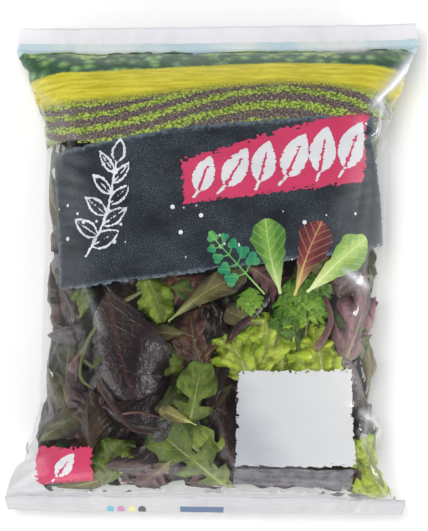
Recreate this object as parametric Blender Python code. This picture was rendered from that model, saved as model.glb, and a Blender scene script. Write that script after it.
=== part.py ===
"""A sealed pillow bag of salad leaves, lying on its back with its printed front up.

The bag is a tube of film, welded flat across its top and its bottom. The leaves and the gas fill the tube, so its
middle is thick and drawn in at the sides, and the two welded bands stay flat and keep the tube's full width.
Metres, +Z up, +Y towards the top band, origin on the resting face under the middle of the bag.
"""

import math

import bmesh
import bpy

# Driving sizes
FLAT_WIDTH = 0.250  # the empty tube laid flat, which is also the width of the bands
BAG_LENGTH = 0.308  # over both bands, filled
FILLED_WIDTH = 0.2165  # across the drawn-in middle
FILLED_HEIGHT = 0.070  # from the resting face to the crown of the front
TOP_BAND = 0.0135  # the welded band at the top
BOTTOM_BAND = 0.0090  # the welded band at the bottom
BAND_THICKNESS = 0.0008
SIDE_HEIGHT = 0.0250  # where the bag is widest, above the resting face
BAND_HEIGHT = 0.0235  # the welds, above the resting face

# How the film runs from a weld into the filled body
TOP_FLARE = 0.066  # from the top weld to where the sides stop drawing in
BOTTOM_FLARE = 0.058  # the same at the bottom weld
FLARE_POWER = 1.7
CROWN_POWER = 2.7
CROWN_ROUND = 0.62
HEEL_LENGTH = 0.034  # from a weld to where the back lies flat
BACK_DEPTH = 1.22  # the back would bulge this many times its height if nothing held it up
WELD_SQUARENESS = 2.4  # next to a weld the front's arch is this much squarer than an ellipse

# How the filled bag departs from a regular pillow
LEAN = 0.0085  # the bottom band sits this far towards -X of the top band
LONG_SIDE = 0.010  # the +X side is this share longer than the middle, and the -X side shorter

# Pleats fan out of each weld, folds run in from the corners, and the bands wave a little
PLEATS = 7
PLEAT_HEIGHT = 0.0012
PLEAT_REACH = 0.034
FOLD_HEIGHT = 0.0024
FOLD_REACH = 0.052
FOLD_INSET = 0.24  # a corner fold moves this share of the half width inwards along its length
FOLD_WIDTH = 0.055  # as a share of the half width
BAND_WAVE = 0.0011
BAND_DROOP = 0.0022

# Faces
STEPS_ACROSS = 36
STEPS_ALONG = 60
STEPS_BAND = 2
WELD_CROWDING = 0.6  # 0 spaces the steps along the body evenly, 1 packs them against the welds
SHARP_ANGLE = math.radians(28)

FILM_COLOUR = (0.55, 0.66, 0.50, 1.0)
FILM_ROUGHNESS = 0.18

Y_TOP_WELD = BAG_LENGTH / 2 - TOP_BAND
Y_BOTTOM_WELD = -BAG_LENGTH / 2 + BOTTOM_BAND
HALF_BODY = (Y_TOP_WELD - Y_BOTTOM_WELD) / 2


def clamped(value):
    return min(max(value, 0.0), 1.0)


def weld_distance(y):
    """How far y is into the filled body from the nearer weld."""
    return max(min(Y_TOP_WELD - y, y - Y_BOTTOM_WELD), 0.0)


def centre_line(y):
    """The middle of the bag leans towards -X on its way down to the bottom band."""
    down = clamped(0.5 - y / BAG_LENGTH)
    return -LEAN * down**2


def half_width(y):
    """Half the bag's width: the full flat width at a weld, drawn in along the body."""
    reach = TOP_FLARE if y > 0 else BOTTOM_FLARE
    left = 1.0 - clamped(weld_distance(y) / reach)
    return (FILLED_WIDTH + (FLAT_WIDTH - FILLED_WIDTH) * left**FLARE_POWER) / 2


def swell(y):
    """From 0 at a weld to 1 at the middle, how far the front has risen to its crown."""
    to_middle = 1.0 - clamped(weld_distance(y) / HALF_BODY)
    return (1.0 - to_middle**CROWN_POWER) ** CROWN_ROUND


def heel(y):
    """From 0 at a weld to 1 where the back has come down to the resting face."""
    left = 1.0 - clamped(weld_distance(y) / HEEL_LENGTH)
    return math.sqrt(1.0 - left**2)


def seam_height(y):
    """The height of the widest line of the bag. Past a weld, the band droops towards its edge."""
    share = clamped(weld_distance(y) / HEEL_LENGTH)
    past_weld = max(y - Y_TOP_WELD, Y_BOTTOM_WELD - y, 0.0)
    droop = BAND_DROOP * (past_weld / TOP_BAND) ** 2
    return BAND_HEIGHT + (SIDE_HEIGHT - BAND_HEIGHT) * share - droop


def pleat(across, y):
    """Pleats rise and fall across the film next to a weld, and die out along the body and at the sides."""
    fade = math.sin(math.pi * clamped(weld_distance(y) / PLEAT_REACH))
    return PLEAT_HEIGHT * fade * math.cos(math.pi * PLEATS * across) * (1.0 - across**4)


def corner_fold(across, y):
    """A soft ridge runs from each corner of the body inwards, where the film gathers at the end of the weld."""
    share = clamped(weld_distance(y) / FOLD_REACH)
    ridge_place = 0.93 - FOLD_INSET * share
    off_ridge = (abs(across) - ridge_place) / FOLD_WIDTH
    return FOLD_HEIGHT * math.sin(math.pi * share) * math.exp(-off_ridge * off_ridge)


def band_wave(across, y):
    """The welded bands aren't quite flat."""
    flatness = 1.0 - clamped(weld_distance(y) / PLEAT_REACH)
    turn = 1.0 if y > 0 else -1.0
    return BAND_WAVE * flatness * math.sin(2.3 * math.pi * across + turn)


def front_height(across, y):
    """Above the seam, the front is an ellipse across the middle of the bag and squarer towards a weld."""
    rise = swell(y)
    power = 2.0 + WELD_SQUARENESS * (1.0 - rise)
    arch = (1.0 - abs(across) ** power) ** 0.5
    crown = (FILLED_HEIGHT - SIDE_HEIGHT) * rise
    return crown * arch + (pleat(across, y) + corner_fold(across, y)) * arch


def back_depth(across, y):
    """The back is as deep as the seam is high, so its lowest part is pressed flat."""
    arch = (1.0 - abs(across) ** 4.0) ** 0.5
    return seam_height(y) * BACK_DEPTH * heel(y) * arch - pleat(across, y) * arch / 2


def film_point(across, y, side):
    """A point of the bag's surface. across runs from -1 to 1, and side is 1 on the front and -1 on the back."""
    x = centre_line(y) + half_width(y) * across
    seam = seam_height(y) + band_wave(across, y)
    if side > 0:
        z = seam + BAND_THICKNESS / 2 + front_height(across, y)
    else:
        z = seam - BAND_THICKNESS / 2 - back_depth(across, y)
    longer = 1.0 + LONG_SIDE * across
    return (x, y * longer, max(z, 0.0))


def stations():
    """Places along the bag: the two bands, and body steps that are closer together near the welds."""
    top = [Y_TOP_WELD + TOP_BAND * i / STEPS_BAND for i in range(1, STEPS_BAND + 1)]
    bottom = [Y_BOTTOM_WELD - BOTTOM_BAND * i / STEPS_BAND for i in range(STEPS_BAND, 0, -1)]
    body = []
    for i in range(STEPS_ALONG + 1):
        share = i / STEPS_ALONG
        crowded = share - WELD_CROWDING * math.sin(2.0 * math.pi * share) / (2.0 * math.pi)
        body.append(Y_BOTTOM_WELD + 2.0 * HALF_BODY * crowded)
    return bottom + body + top


def places_across():
    """Steps across the bag, closer together at the sides, where the film turns round."""
    return [math.sin(math.pi / 2 * (2.0 * i / STEPS_ACROSS - 1.0)) for i in range(STEPS_ACROSS + 1)]


def bag_mesh():
    """One closed surface: rings round the tube, bridged along the bag and capped at the ends of the bands."""
    mesh = bmesh.new()
    across = places_across()
    rings = []
    for y in stations():
        front = [mesh.verts.new(film_point(a, y, 1)) for a in across]
        back = [mesh.verts.new(film_point(a, y, -1)) for a in reversed(across)]
        rings.append(front + back)
    for lower, upper in zip(rings, rings[1:]):
        for i in range(len(lower)):
            j = (i + 1) % len(lower)
            mesh.faces.new((lower[i], lower[j], upper[j], upper[i]))
    mesh.faces.new(list(reversed(rings[0])))
    mesh.faces.new(rings[-1])
    bmesh.ops.recalc_face_normals(mesh, faces=mesh.faces)
    return mesh


def centre_over_origin(mesh):
    """Move the bag sideways so that the middle of its length and width is over the origin."""
    for axis in (0, 1):
        low = min(vert.co[axis] for vert in mesh.verts)
        high = max(vert.co[axis] for vert in mesh.verts)
        for vert in mesh.verts:
            vert.co[axis] -= (low + high) / 2


def film_material():
    material = bpy.data.materials.new("printed_film")
    material.use_nodes = True
    surface = material.node_tree.nodes["Principled BSDF"]
    surface.inputs["Base Color"].default_value = FILM_COLOUR
    surface.inputs["Roughness"].default_value = FILM_ROUGHNESS
    surface.inputs["Metallic"].default_value = 0.0
    return material


def build():
    for obj in list(bpy.data.objects):
        bpy.data.objects.remove(obj)
    mesh = bag_mesh()
    centre_over_origin(mesh)
    data = bpy.data.meshes.new("salad_bag")
    mesh.to_mesh(data)
    mesh.free()
    data.materials.append(film_material())
    data.shade_smooth()
    data.set_sharp_from_angle(angle=SHARP_ANGLE)
    bag = bpy.data.objects.new("salad_bag", data)
    bpy.context.scene.collection.objects.link(bag)


build()
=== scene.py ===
"""The looks of a sealed bag of salad leaves: clear film, the print on its inside, and the leaves in it.

The film is a flat tube, welded at both ends, that is filled and left to settle on the table. Everything else
is laid on it in the film's own measures: u runs round the tube from the middle of the front, v runs along it
from the middle of its length, and depth goes in from the film. Places on the film are in millimetres, all
else is in metres.
"""

import math
from dataclasses import dataclass
from functools import partial

import bpy
import numpy as np
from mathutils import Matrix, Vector


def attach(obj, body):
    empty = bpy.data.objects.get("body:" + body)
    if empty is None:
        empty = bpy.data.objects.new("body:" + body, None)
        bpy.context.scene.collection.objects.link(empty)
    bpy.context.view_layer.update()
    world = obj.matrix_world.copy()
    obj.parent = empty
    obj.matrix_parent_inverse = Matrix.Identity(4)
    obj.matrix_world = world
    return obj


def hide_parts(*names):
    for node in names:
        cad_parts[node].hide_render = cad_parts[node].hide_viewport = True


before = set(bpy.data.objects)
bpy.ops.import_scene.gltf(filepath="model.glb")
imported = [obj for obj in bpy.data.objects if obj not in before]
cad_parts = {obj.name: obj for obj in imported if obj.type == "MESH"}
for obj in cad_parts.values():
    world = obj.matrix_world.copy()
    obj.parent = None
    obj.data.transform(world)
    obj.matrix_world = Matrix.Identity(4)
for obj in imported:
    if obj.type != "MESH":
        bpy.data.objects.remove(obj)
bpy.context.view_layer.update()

MM = 0.001


# ---------------------------------------------------------------- the film

# The empty tube of film
TUBE_WIDTH = 0.250  # laid flat
TUBE_LENGTH = 0.323  # over both bands
SHEET_WIDTH = TUBE_WIDTH / MM  # the same widths in mm, as u measures them
SHEET_SIDE = SHEET_WIDTH / 2
SHEET_ROUND = SHEET_WIDTH * 2
TOP_WELD = 0.014  # the length of each band
BOTTOM_WELD = 0.009

# The simulation that fills it
COARSE_GRID = (40, 52)  # points across the flat tube and along it
# The stages: how many steps, sweeps in each step, the filling's push, and how stiffly the film bends
COARSE_STAGES = ((400, 8, 0.004, 0.3), (100, 20, 0.0015, 0.1))
FINER_STAGES = ((120, 20, 0.0006, 0.1), (45, 20, 0.0002, 0.1))  # each doubles the grid first
FINE_HALF = COARSE_GRID[0] * 2 ** len(FINER_STAGES)  # the points across the flat tube in the end
FILL_HEIGHT = 0.080  # the gas and leaves push until the film is about this high
FIRST_RISE = 0.025  # how high the opened tube's middle stands over its sides
UNEVEN_START = 0.0004
DAMPING = 0.97
FLOOR_GRIP = 0.5  # how much of its sideways speed the film keeps on the table
SHEAR_STIFFNESS = 0.35
WEIGHT = 0.0012  # the film's weight beside the filling's push
TINY = 1e-9


def move_apart(a, b, rest, stiffness, only_push):
    """Bring each pair of points to its rest distance. With only_push, pairs that are far apart stay so."""
    gap = b - a
    length = np.sqrt(np.einsum("...i,...i", gap, gap))
    error = length - rest
    if only_push:
        error = np.minimum(error, 0.0)
    gap *= (stiffness * 0.5 * error / np.maximum(length, TINY))[..., None]
    a += gap
    b -= gap


def film_links(points, step_round, step_along, bend):
    """Neighbouring points of the tube as pairs of views, each with its rest length and stiffness."""
    around, along = points.shape[:2]
    diagonal = math.hypot(step_round, step_along)
    links = [
        (points[0::2], points[1::2], step_round, 1.0, False),
        (points[1:-1:2], points[2::2], step_round, 1.0, False),
        (points[-1:], points[:1], step_round, 1.0, False),
    ]
    for start in (0, 1):
        pairs = (along - start) // 2
        low = points[:, start : start + 2 * pairs : 2]
        high = points[:, start + 1 : start + 2 * pairs : 2]
        links.append((low, high, step_along, 1.0, False))
    for a, b in ((points[0::2], points[1::2]), (points[1:-1:2], points[2::2]), (points[-1:], points[:1])):
        links.append((a[:, :-1], b[:, 1:], diagonal, SHEAR_STIFFNESS, False))
        links.append((a[:, 1:], b[:, :-1], diagonal, SHEAR_STIFFNESS, False))
    for start in range(4):
        near = points[start : around - 2 : 4]
        links.append((near, points[start + 2 :: 4][: len(near)], 2 * step_round, bend, True))
        near = points[:, start : along - 2 : 4]
        links.append((near, points[:, start + 2 :: 4][:, : near.shape[1]], 2 * step_along, bend, True))
    return links


def outward_areas(points):
    """For each point, its share of the film's area times the direction out of the bag."""
    round_tube = np.roll(points, -1, 0) - np.roll(points, 1, 0)
    return np.cross(round_tube, np.gradient(points, axis=1) * 2) / 4


def relax_film(points, steps, sweeps, push, bend):
    """Let the film settle on the table, with the bag's filling pushing it out."""
    half = len(points) // 2
    step_round = TUBE_WIDTH / half
    step_along = TUBE_LENGTH / (points.shape[1] - 1)
    bands = band_rows(points)
    links = film_links(points, step_round, step_along, bend)
    front = np.arange(1, half)
    back = 2 * half - front
    speed = np.zeros_like(points)
    for _ in range(steps):
        pressure = np.maximum(FILL_HEIGHT - points[..., 2], 0.0) * push / (step_round * step_along)
        force = outward_areas(points) * pressure[..., None]
        for rows in bands:
            force[:, rows] = 0.0
        force[..., 2] -= WEIGHT * push
        before = points.copy()
        speed += force
        speed *= DAMPING
        points += speed
        for _ in range(sweeps):
            for link in links:
                move_apart(*link)
            for rows in bands:
                middle = (points[front, rows] + points[back, rows]) / 2
                points[front, rows] = middle
                points[back, rows] = middle
            np.maximum(points[..., 2], 0.0, out=points[..., 2])
        speed = points - before
        speed[..., :2][points[..., 2] <= TINY] *= FLOOR_GRIP


def band_rows(points):
    """The rows of the grid that are in the bottom band and in the top band, with the weld's own row."""
    rows = points.shape[1]
    step = TUBE_LENGTH / (rows - 1)
    return slice(0, round(BOTTOM_WELD / step) + 1), slice(rows - 1 - round(TOP_WELD / step), rows)


def flat_tube():
    """The tube just opened: a low lens across, a little uneven so that its wrinkles aren't regular."""
    half, rows = COARSE_GRID
    around = np.arange(2 * half)
    across = np.where(around <= half, around, 2 * half - around) / half * 2 - 1
    along = np.linspace(-1, 1, rows)
    side = np.where(around <= half, 1.0, -1.0)
    rise = FIRST_RISE * side[:, None] * (1 - across[:, None] ** 2) * (1 - along**4)
    points = np.empty((2 * half, rows, 3), np.float32)
    points[..., 0] = across[:, None] * TUBE_WIDTH / 2
    points[..., 1] = along * TUBE_LENGTH / 2
    points[..., 2] = FIRST_RISE + rise + np.random.default_rng(7).normal(0, UNEVEN_START, rise.shape)
    return points


def doubled(points):
    """The same film on a grid with twice as many steps each way."""
    around, rows = points.shape[:2]
    finer = np.empty((2 * around, 2 * rows - 1, 3), points.dtype)
    finer[0::2, 0::2] = points
    finer[1::2, 0::2] = (points + np.roll(points, -1, 0)) / 2
    finer[:, 1::2] = (finer[:, 0:-1:2] + finer[:, 2::2]) / 2
    return finer


def filled_tube(finer_stages):
    """The tube after the filling has pushed it out and it has settled."""
    points = flat_tube()
    for stage in COARSE_STAGES:
        relax_film(points, *stage)
    for stage in finer_stages:
        points = doubled(points)
        relax_film(points, *stage)
    return points.astype(float)


# ---------------------------------------------------------------- fitting the film to the CAD bag

OUTLINE_STEPS = 60
OUTLINE_HEIGHTS = [0.019 + 0.0005 * i for i in range(16)]  # the bag's widest line is among them
OUTLINE_CALMING = 120  # so that the film keeps its own wrinkles at the sides
BAND_EDGE = 0.004  # the CAD's vertices this near an end belong to that band's edge
EDGE_REACH = 0.09  # how far the straightening of a band's edge reaches into the bag
FIN_ROOM = 0.0005  # the back's fin lies between the film and the table


def smoothstep(x, low=0.0, high=1.0):
    """0 below low, 1 above high, and smooth between."""
    x = np.clip((x - low) / (high - low), 0.0, 1.0)
    return x * x * (3 - 2 * x)


def smooth_line(values, passes):
    """values along a line, each averaged with its neighbours a number of times. The ends stay."""
    for _ in range(passes):
        inner = (values[:-2] + values[2:]) / 4 + values[1:-1] / 2
        values = np.concatenate([values[:1], inner, values[-1:]])
    return values


def cad_side(bag, y, side):
    """The x of the CAD bag's left (-1) or right (1) outline at y, found by looking at it from that side."""
    found = []
    for z in OUTLINE_HEIGHTS:
        hit, place, _, _ = bag.ray_cast(Vector((side, y, z)), Vector((-side, 0, 0)))
        if hit:
            found.append(place.x)
    return max(found) if side > 0 else min(found)


def fit_to_cad(points, bag):
    """Move the film sideways to the CAD bag's outline, and make its bands' edges as straight as the CAD's."""
    vertices = np.array([v.co for v in bag.data.vertices])
    low, high = vertices[:, 1].min(), vertices[:, 1].max()
    for row, end in ((-1, high), (0, low)):
        edge = vertices[np.abs(vertices[:, 1] - end) < BAND_EDGE]
        slope, middle = np.polyfit(edge[:, 0], edge[:, 1], 1)
        short = middle + slope * points[:, row, 0] - points[:, row, 1]
        into_bag = np.abs(points[:, :, 1] - points[:, row, 1][:, None]) / EDGE_REACH
        points[..., 1] += short[:, None] * (1 - smoothstep(into_bag))
    y = np.linspace(low + BAND_EDGE, high - BAND_EDGE, OUTLINE_STEPS)
    left = [cad_side(bag, at, -1) for at in y]
    right = [cad_side(bag, at, 1) for at in y]
    film_low = smooth_line(points[..., 0].min(0), OUTLINE_CALMING)
    film_high = smooth_line(points[..., 0].max(0), OUTLINE_CALMING)
    middle_y = points[:, :, 1].mean(0)
    share = (points[..., 0] - film_low) / (film_high - film_low)
    points[..., 0] = (1 - share) * np.interp(middle_y, y, left) + share * np.interp(middle_y, y, right)
    points[..., 2] += FIN_ROOM


# ---------------------------------------------------------------- creases in the front

# Each crease: where it starts and ends on the sheet (u, v), how high it stands, and how wide it is, in mm
CREASES = (
    ((121, 141), (97, 103), 5.0, 4.6),
    ((97, 103), (104, 82), 3.4, 3.8),
    ((97, 103), (114, 94), 2.6, 3.4),
    ((82, 4), (112, -14), 2.4, 3.6),
    ((86, -14), (98, -28), 1.8, 3.0),
    ((94, -88), (114, -98), 2.8, 3.6),
    ((104, -104), (94, -120), 1.8, 3.0),
    ((99, 95), (92, 82), -1.6, 2.8),
    ((96, 62), (90, 30), -1.3, 7.0),
    ((-83, -8), (-66, -42), 2.2, 2.4),
    ((-92, -30), (-78, -62), -1.8, 4.0),
    ((-106, -50), (-88, -62), 1.6, 2.6),
    ((-112, -66), (-92, -88), 1.5, 3.0),
    ((-100, -34), (-112, -60), -1.5, 3.2),
    ((-118, 120), (-108, 84), 1.8, 3.2),
    ((-114, 84), (-104, 62), -1.4, 3.6),
    ((104, -84), (92, -98), 1.8, 2.6),
    ((112, -70), (100, -88), 1.6, 2.4),
    ((20, -124), (92, -126), -1.2, 3.0),
    ((84, -128), (112, -146), 1.8, 2.6),
    ((70, -132), (88, -150), 1.3, 2.4),
    ((-92, -130), (-112, -150), 1.5, 3.0),
    ((108, -4), (112, -40), 1.3, 3.0),
)


def crease_height(u, v, start, end, height, width):
    """A ridge along a line, sharp on top and faded at both ends. A negative height is a valley."""
    along = np.subtract(end, start)
    length = math.hypot(*along)
    direction = along / length
    du = u - start[0]
    dv = v - start[1]
    far = (du * direction[0] + dv * direction[1]) / length
    off = np.abs(du * direction[1] - dv * direction[0])
    bell = np.sin(np.pi * np.clip(far, 0, 1)) ** 0.7
    return height * bell * np.exp(-off / width)


# Painted highlights along the sharpest creases: where each starts and ends, how white it is, and how wide, in
# mm
PAINTED_CREASE_HIGHLIGHTS = (
    ((123, 144), (94, 97), 1.5, 1.8),
    ((100, 108), (104, 78), 0.7, 1.5),
    ((98, 106), (116, 91), 0.6, 1.4),
    ((80, 1), (102, -13), 0.9, 1.8),
    ((94, -87), (114, -99), 0.9, 2.0),
    ((104, -84), (95, -112), 0.30, 1.4),
    ((-84, -6), (-66, -42), 0.18, 1.3),
    ((-104, -96), (-112, -66), 0.16, 2.4),
)


def painted_crease_highlight(u, v):
    """How white the painted highlight is along the film's sharpest creases."""
    return sum(crease_height(u, v, *crease) for crease in PAINTED_CREASE_HIGHLIGHTS)


WAVES = ((24.0, 0.55, 301), (10.0, 0.22, 302))  # the size and height of the film's waves, and a seed


def crease_film(points):
    """Raise the creases, and waves that are highest at the sides and near the welds."""
    half = len(points) // 2
    around = np.arange(2 * half)[:, None]
    u = (around / half - 0.5) * TUBE_WIDTH / MM
    v = (np.arange(points.shape[1])[None] / (points.shape[1] - 1) - 0.5) * TUBE_LENGTH / MM
    height = sum(crease_height(u, v, *crease) for crease in CREASES)
    turn = np.abs(((u + SHEET_SIDE) % SHEET_WIDTH) - SHEET_SIDE)
    loose = 0.25 + smoothstep(turn, 60, 110) + smoothstep(np.abs(v), 96, 135)
    for size, swell, seed in WAVES:
        height = height + swell * loose * noise(u, v * 0.8 + u * 0.3, size, seed)
    normals = outward_areas(points)
    normals /= np.linalg.norm(normals, axis=-1, keepdims=True) + TINY
    points += normals * height[..., None] * MM


# ---------------------------------------------------------------- the film as a place to lay things

CALMING = 60  # passes, on the finest grid, that take the wrinkles out of the surface that the leaves follow
CLEAR_OF_FILM = 0.0006  # the leaves stay this far inside the film
FILL_LOW = -143.0  # the leaves reach this low, and lower in the right corner, in mm along the sheet
FILL_LOW_RIGHT = -151.0
FILL_HIGH = 138.0
FILL_EDGE = 2.0  # how softly leaves crowd against the ends
LOW_REACH = 16.0  # within this of the lower end, leaves lie nearer the film
PRESS = 0.0008  # how softly a leaf that touches the film flattens against it
FILL_SHARE = 0.46  # leaves go in at most this share of the bag's thickness
SIDE_SHARE = 0.14  # within this share of the flat width from a side, the thickness is taken further in


def calmed(values, passes):
    """values on the tube's grid, each averaged with its neighbours a number of times."""
    values = values.copy()
    for _ in range(passes):
        values = values / 2 + (np.roll(values, 1, 0) + np.roll(values, -1, 0)) / 4
        values[:, 1:-1] = (values[:, :-2] + values[:, 2:]) / 4 + values[:, 1:-1] / 2
    return values


def unit(vectors):
    return vectors / (np.linalg.norm(vectors, axis=-1, keepdims=True) + TINY)


class Film:
    """The film's grid: first round the tube, from the left side over the front and under it, then along."""

    def __init__(self, points):
        self.points = points
        self.half = len(points) // 2
        self.rows = points.shape[1]
        self.inward = unit(-outward_areas(calmed(points, 2)))
        passes = round(CALMING * (self.half / FINE_HALF) ** 2)
        self.calm = calmed(points, passes)
        self.calm_inward = unit(-outward_areas(self.calm))
        dents = np.einsum("...i,...i", points - self.calm, self.calm_inward)
        self.least_depth = calmed(np.maximum(widened(dents), 0.0), 2) + CLEAR_OF_FILM
        self.room = self.fill_room()

    def fill_room(self):
        """How deep leaves may go at each point, so that the front's and the back's don't meet."""
        inset = round(SIDE_SHARE * self.half)
        front = np.clip(np.arange(self.half + 1), inset, self.half - inset)
        thickness = np.linalg.norm(self.calm[front] - self.calm[2 * self.half - front], axis=-1)
        return FILL_SHARE * np.concatenate([thickness, thickness[-2:0:-1]])

    def sample(self, values, u, v):
        """values of the grid at places (u, v) on the sheet, in mm."""
        k = (u * MM / TUBE_WIDTH + 0.5) * self.half
        j = np.clip((v * MM / TUBE_LENGTH + 0.5) * (self.rows - 1), 0, self.rows - 1 - TINY)
        k0 = np.floor(k).astype(int)
        j0 = np.floor(j).astype(int)
        across = (k - k0)[..., None]
        along = (j - j0)[..., None]
        if values.ndim == 2:
            across, along = across[..., 0], along[..., 0]
        k1 = (k0 + 1) % (2 * self.half)
        k0 = k0 % (2 * self.half)
        low = values[k0, j0] * (1 - across) + values[k1, j0] * across
        high = values[k0, j0 + 1] * (1 - across) + values[k1, j0 + 1] * across
        return low * (1 - along) + high * along

    def skin(self, u, v, depth):
        """Places just under the film itself, for the print."""
        return self.sample(self.points, u, v) + self.sample(self.inward, u, v) * depth

    def inside(self, u, v, depth):
        """Places in the filling, never through the film and never past the middle of the bag."""
        low = FILL_LOW + (FILL_LOW_RIGHT - FILL_LOW) * smoothstep(u, 84, 108) * smoothstep(130 - u, -20, 10)
        low = low + 1.5 + 2.6 * noise(u, np.zeros_like(u), 7.0, 401)
        v = low + FILL_EDGE * np.logaddexp(0.0, (v - low) / FILL_EDGE)
        v = FILL_HIGH - FILL_EDGE * np.logaddexp(0.0, (FILL_HIGH - v) / FILL_EDGE)
        least = self.sample(self.least_depth, u, v)
        room = self.sample(self.room, u, v)
        depth = depth * (0.25 + 0.75 * smoothstep(v, low, low + LOW_REACH))
        over = (depth - least) / PRESS
        depth = least + PRESS * np.logaddexp(0.0, over)
        depth = np.minimum(depth, np.maximum(room, least))
        return self.sample(self.calm, u, v) + self.sample(self.calm_inward, u, v) * depth[..., None]


def widened(values):
    """Each value raised to the highest of its neighbours."""
    highest = np.maximum(values, np.maximum(np.roll(values, 1, 0), np.roll(values, -1, 0)))
    highest[:, 1:-1] = np.maximum(highest[:, 1:-1], np.maximum(highest[:, :-2], highest[:, 2:]))
    return highest


# ---------------------------------------------------------------- meshes


def mesh_piece(name, points, faces, material, uv=None, uv_name="sheet", values=None):
    """A mesh object that rides on the bag. uv has a pair and values a number for each point."""
    mesh = bpy.data.meshes.new(name)
    mesh.from_pydata(np.asarray(points).tolist(), [], faces)
    mesh.shade_smooth()
    if uv is not None:
        corner_points = np.empty(len(mesh.loops), np.int32)
        mesh.loops.foreach_get("vertex_index", corner_points)
        layer = mesh.uv_layers.new(name=uv_name)
        layer.data.foreach_set("uv", np.asarray(uv, np.float32)[corner_points].ravel())
    for key, numbers in (values or {}).items():
        attribute = mesh.attributes.new(key, "FLOAT", "POINT")
        attribute.data.foreach_set("value", np.asarray(numbers, np.float32).ravel())
    mesh.materials.append(material)
    mesh.update()
    piece = bpy.data.objects.new(name, mesh)
    bpy.context.scene.collection.objects.link(piece)
    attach(piece, "root")
    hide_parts("salad_bag")
    return piece


def grid_faces(columns, rows, closed=False):
    """Faces of a grid whose point (i, j) is number i * rows + j. Closed, its last column meets its first."""
    i = np.arange(columns if closed else columns - 1)[:, None]
    j = np.arange(rows - 1)[None]
    a = i * rows + j
    b = (i + 1) % columns * rows + j
    return np.stack([a, b, b + 1, a + 1], -1).reshape(-1, 4).tolist()


def noise(u, v, size, seed):
    """Smooth noise from -1 to 1, with bumps of about this size."""
    table = np.random.default_rng(seed).uniform(-1, 1, (64, 64))
    x = np.asarray(u) / size
    y = np.asarray(v) / size
    i = np.floor(x).astype(int)
    j = np.floor(y).astype(int)
    a = smoothstep(x - i)
    b = smoothstep(y - j)
    i0, i1, j0, j1 = i % 64, (i + 1) % 64, j % 64, (j + 1) % 64
    low = table[i0, j0] * (1 - a) + table[i1, j0] * a
    high = table[i0, j1] * (1 - a) + table[i1, j1] * a
    return low * (1 - b) + high * b


# ---------------------------------------------------------------- the print, cut out of the film's sheet

INK_DEPTH = 0.00012  # under the film


def cut_out(film, region, finer, shape):
    """Points (u, v), faces and edge distances of the part of a region where shape(u, v) is positive.

    The region is (lowest u, highest u, lowest v, highest v). Its cells are the film's own, split by finer.
    """
    step_u = TUBE_WIDTH / MM / film.half / finer
    step_v = TUBE_LENGTH / MM / (film.rows - 1) / finer
    u = np.arange(math.floor(region[0] / step_u), math.ceil(region[1] / step_u) + 1) * step_u
    j = np.arange(math.floor(region[2] / step_v), math.ceil(region[3] / step_v) + 1)
    v = j * step_v
    u, v = (axis.ravel() for axis in np.meshgrid(u, v, indexing="ij"))
    rows = len(j)
    columns = len(u) // rows
    value = np.asarray(shape(u, v), float)
    keep = value > 0
    cells = np.array(grid_faces(columns, rows))
    kept = keep[cells].sum(1)
    number = np.cumsum(keep) - 1
    points = list(zip(u[keep], v[keep]))
    distance = list(value[keep])
    faces = number[cells[kept == 4]].tolist()
    crossings = {}

    def crossing(a, b):
        key = (min(a, b), max(a, b))
        if key not in crossings:
            share = value[a] / (value[a] - value[b])
            crossings[key] = len(points)
            points.append((u[a] + share * (u[b] - u[a]), v[a] + share * (v[b] - v[a])))
            distance.append(0.0)
        return crossings[key]

    for cell in cells[(kept > 0) & (kept < 4)].tolist():
        outline = []
        for a, b in zip(cell, cell[1:] + cell[:1]):
            if keep[a]:
                outline.append(int(number[a]))
            if keep[a] != keep[b]:
                outline.append(crossing(a, b))
        faces.append(outline)
    return np.array(points), faces, np.array(distance)


def printed(film, name, region, finer, shape, material, depth=INK_DEPTH, whole=None):
    """A field of ink on the film's inside. Its wear follows the edge of the whole field, uncut by others."""
    uv, faces, distance = cut_out(film, region, finer, shape)
    if whole is not None:
        distance = np.maximum(whole(uv[:, 0], uv[:, 1]), 0.0)
    places = film.skin(uv[:, 0], uv[:, 1], depth)
    return mesh_piece(name, places, faces, material, uv=uv, values={"edge": distance})


# Shapes. Each takes places (u, v) in mm, and is positive inside and about the distance in mm from the edge.

FAR = 99.0  # further than any edge


def nowhere(u):
    """A shape with no inside, to add shapes to."""
    return np.full(np.shape(u), -FAR)


def turned(u, v, centre, degrees):
    """Places seen from a centre, along an axis turned by this many degrees from u and across it."""
    angle = math.radians(degrees)
    du = u - centre[0]
    dv = v - centre[1]
    return du * math.cos(angle) + dv * math.sin(angle), dv * math.cos(angle) - du * math.sin(angle)


def box_shape(u, v, centre, size, degrees=0.0, corner=0.0):
    """A box about a centre, turned, with round corners."""
    x, y = turned(u, v, centre, degrees)
    dx = np.abs(x) - size[0] / 2 + corner
    dy = np.abs(y) - size[1] / 2 + corner
    outside = np.hypot(np.maximum(dx, 0), np.maximum(dy, 0))
    return corner - outside - np.minimum(np.maximum(dx, dy), 0)


def corners_shape(u, v, corners):
    """The inside of a shape with straight sides, given by its corners counter-clockwise."""
    value = -nowhere(u)
    for start, end in zip(corners, corners[1:] + corners[:1]):
        along = np.subtract(end, start) / math.dist(start, end)
        value = np.minimum(value, along[0] * (v - start[1]) - along[1] * (u - start[0]))
    return value


def beside_line(u, v, start, end):
    """How far along a line and beside it each place is, the line's length, and the share of it passed."""
    along = np.subtract(end, start)
    length = math.hypot(*along)
    x, y = turned(u, v, start, math.degrees(math.atan2(along[1], along[0])))
    return x, y, length, np.clip(x / length, 0, 1)


def line_shape(u, v, start, end, start_width, end_width):
    """A stroke from one place to another, with round ends."""
    x, y, length, share = beside_line(u, v, start, end)
    return start_width / 2 * (1 - share) + end_width / 2 * share - np.hypot(x - share * length, y)


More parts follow.
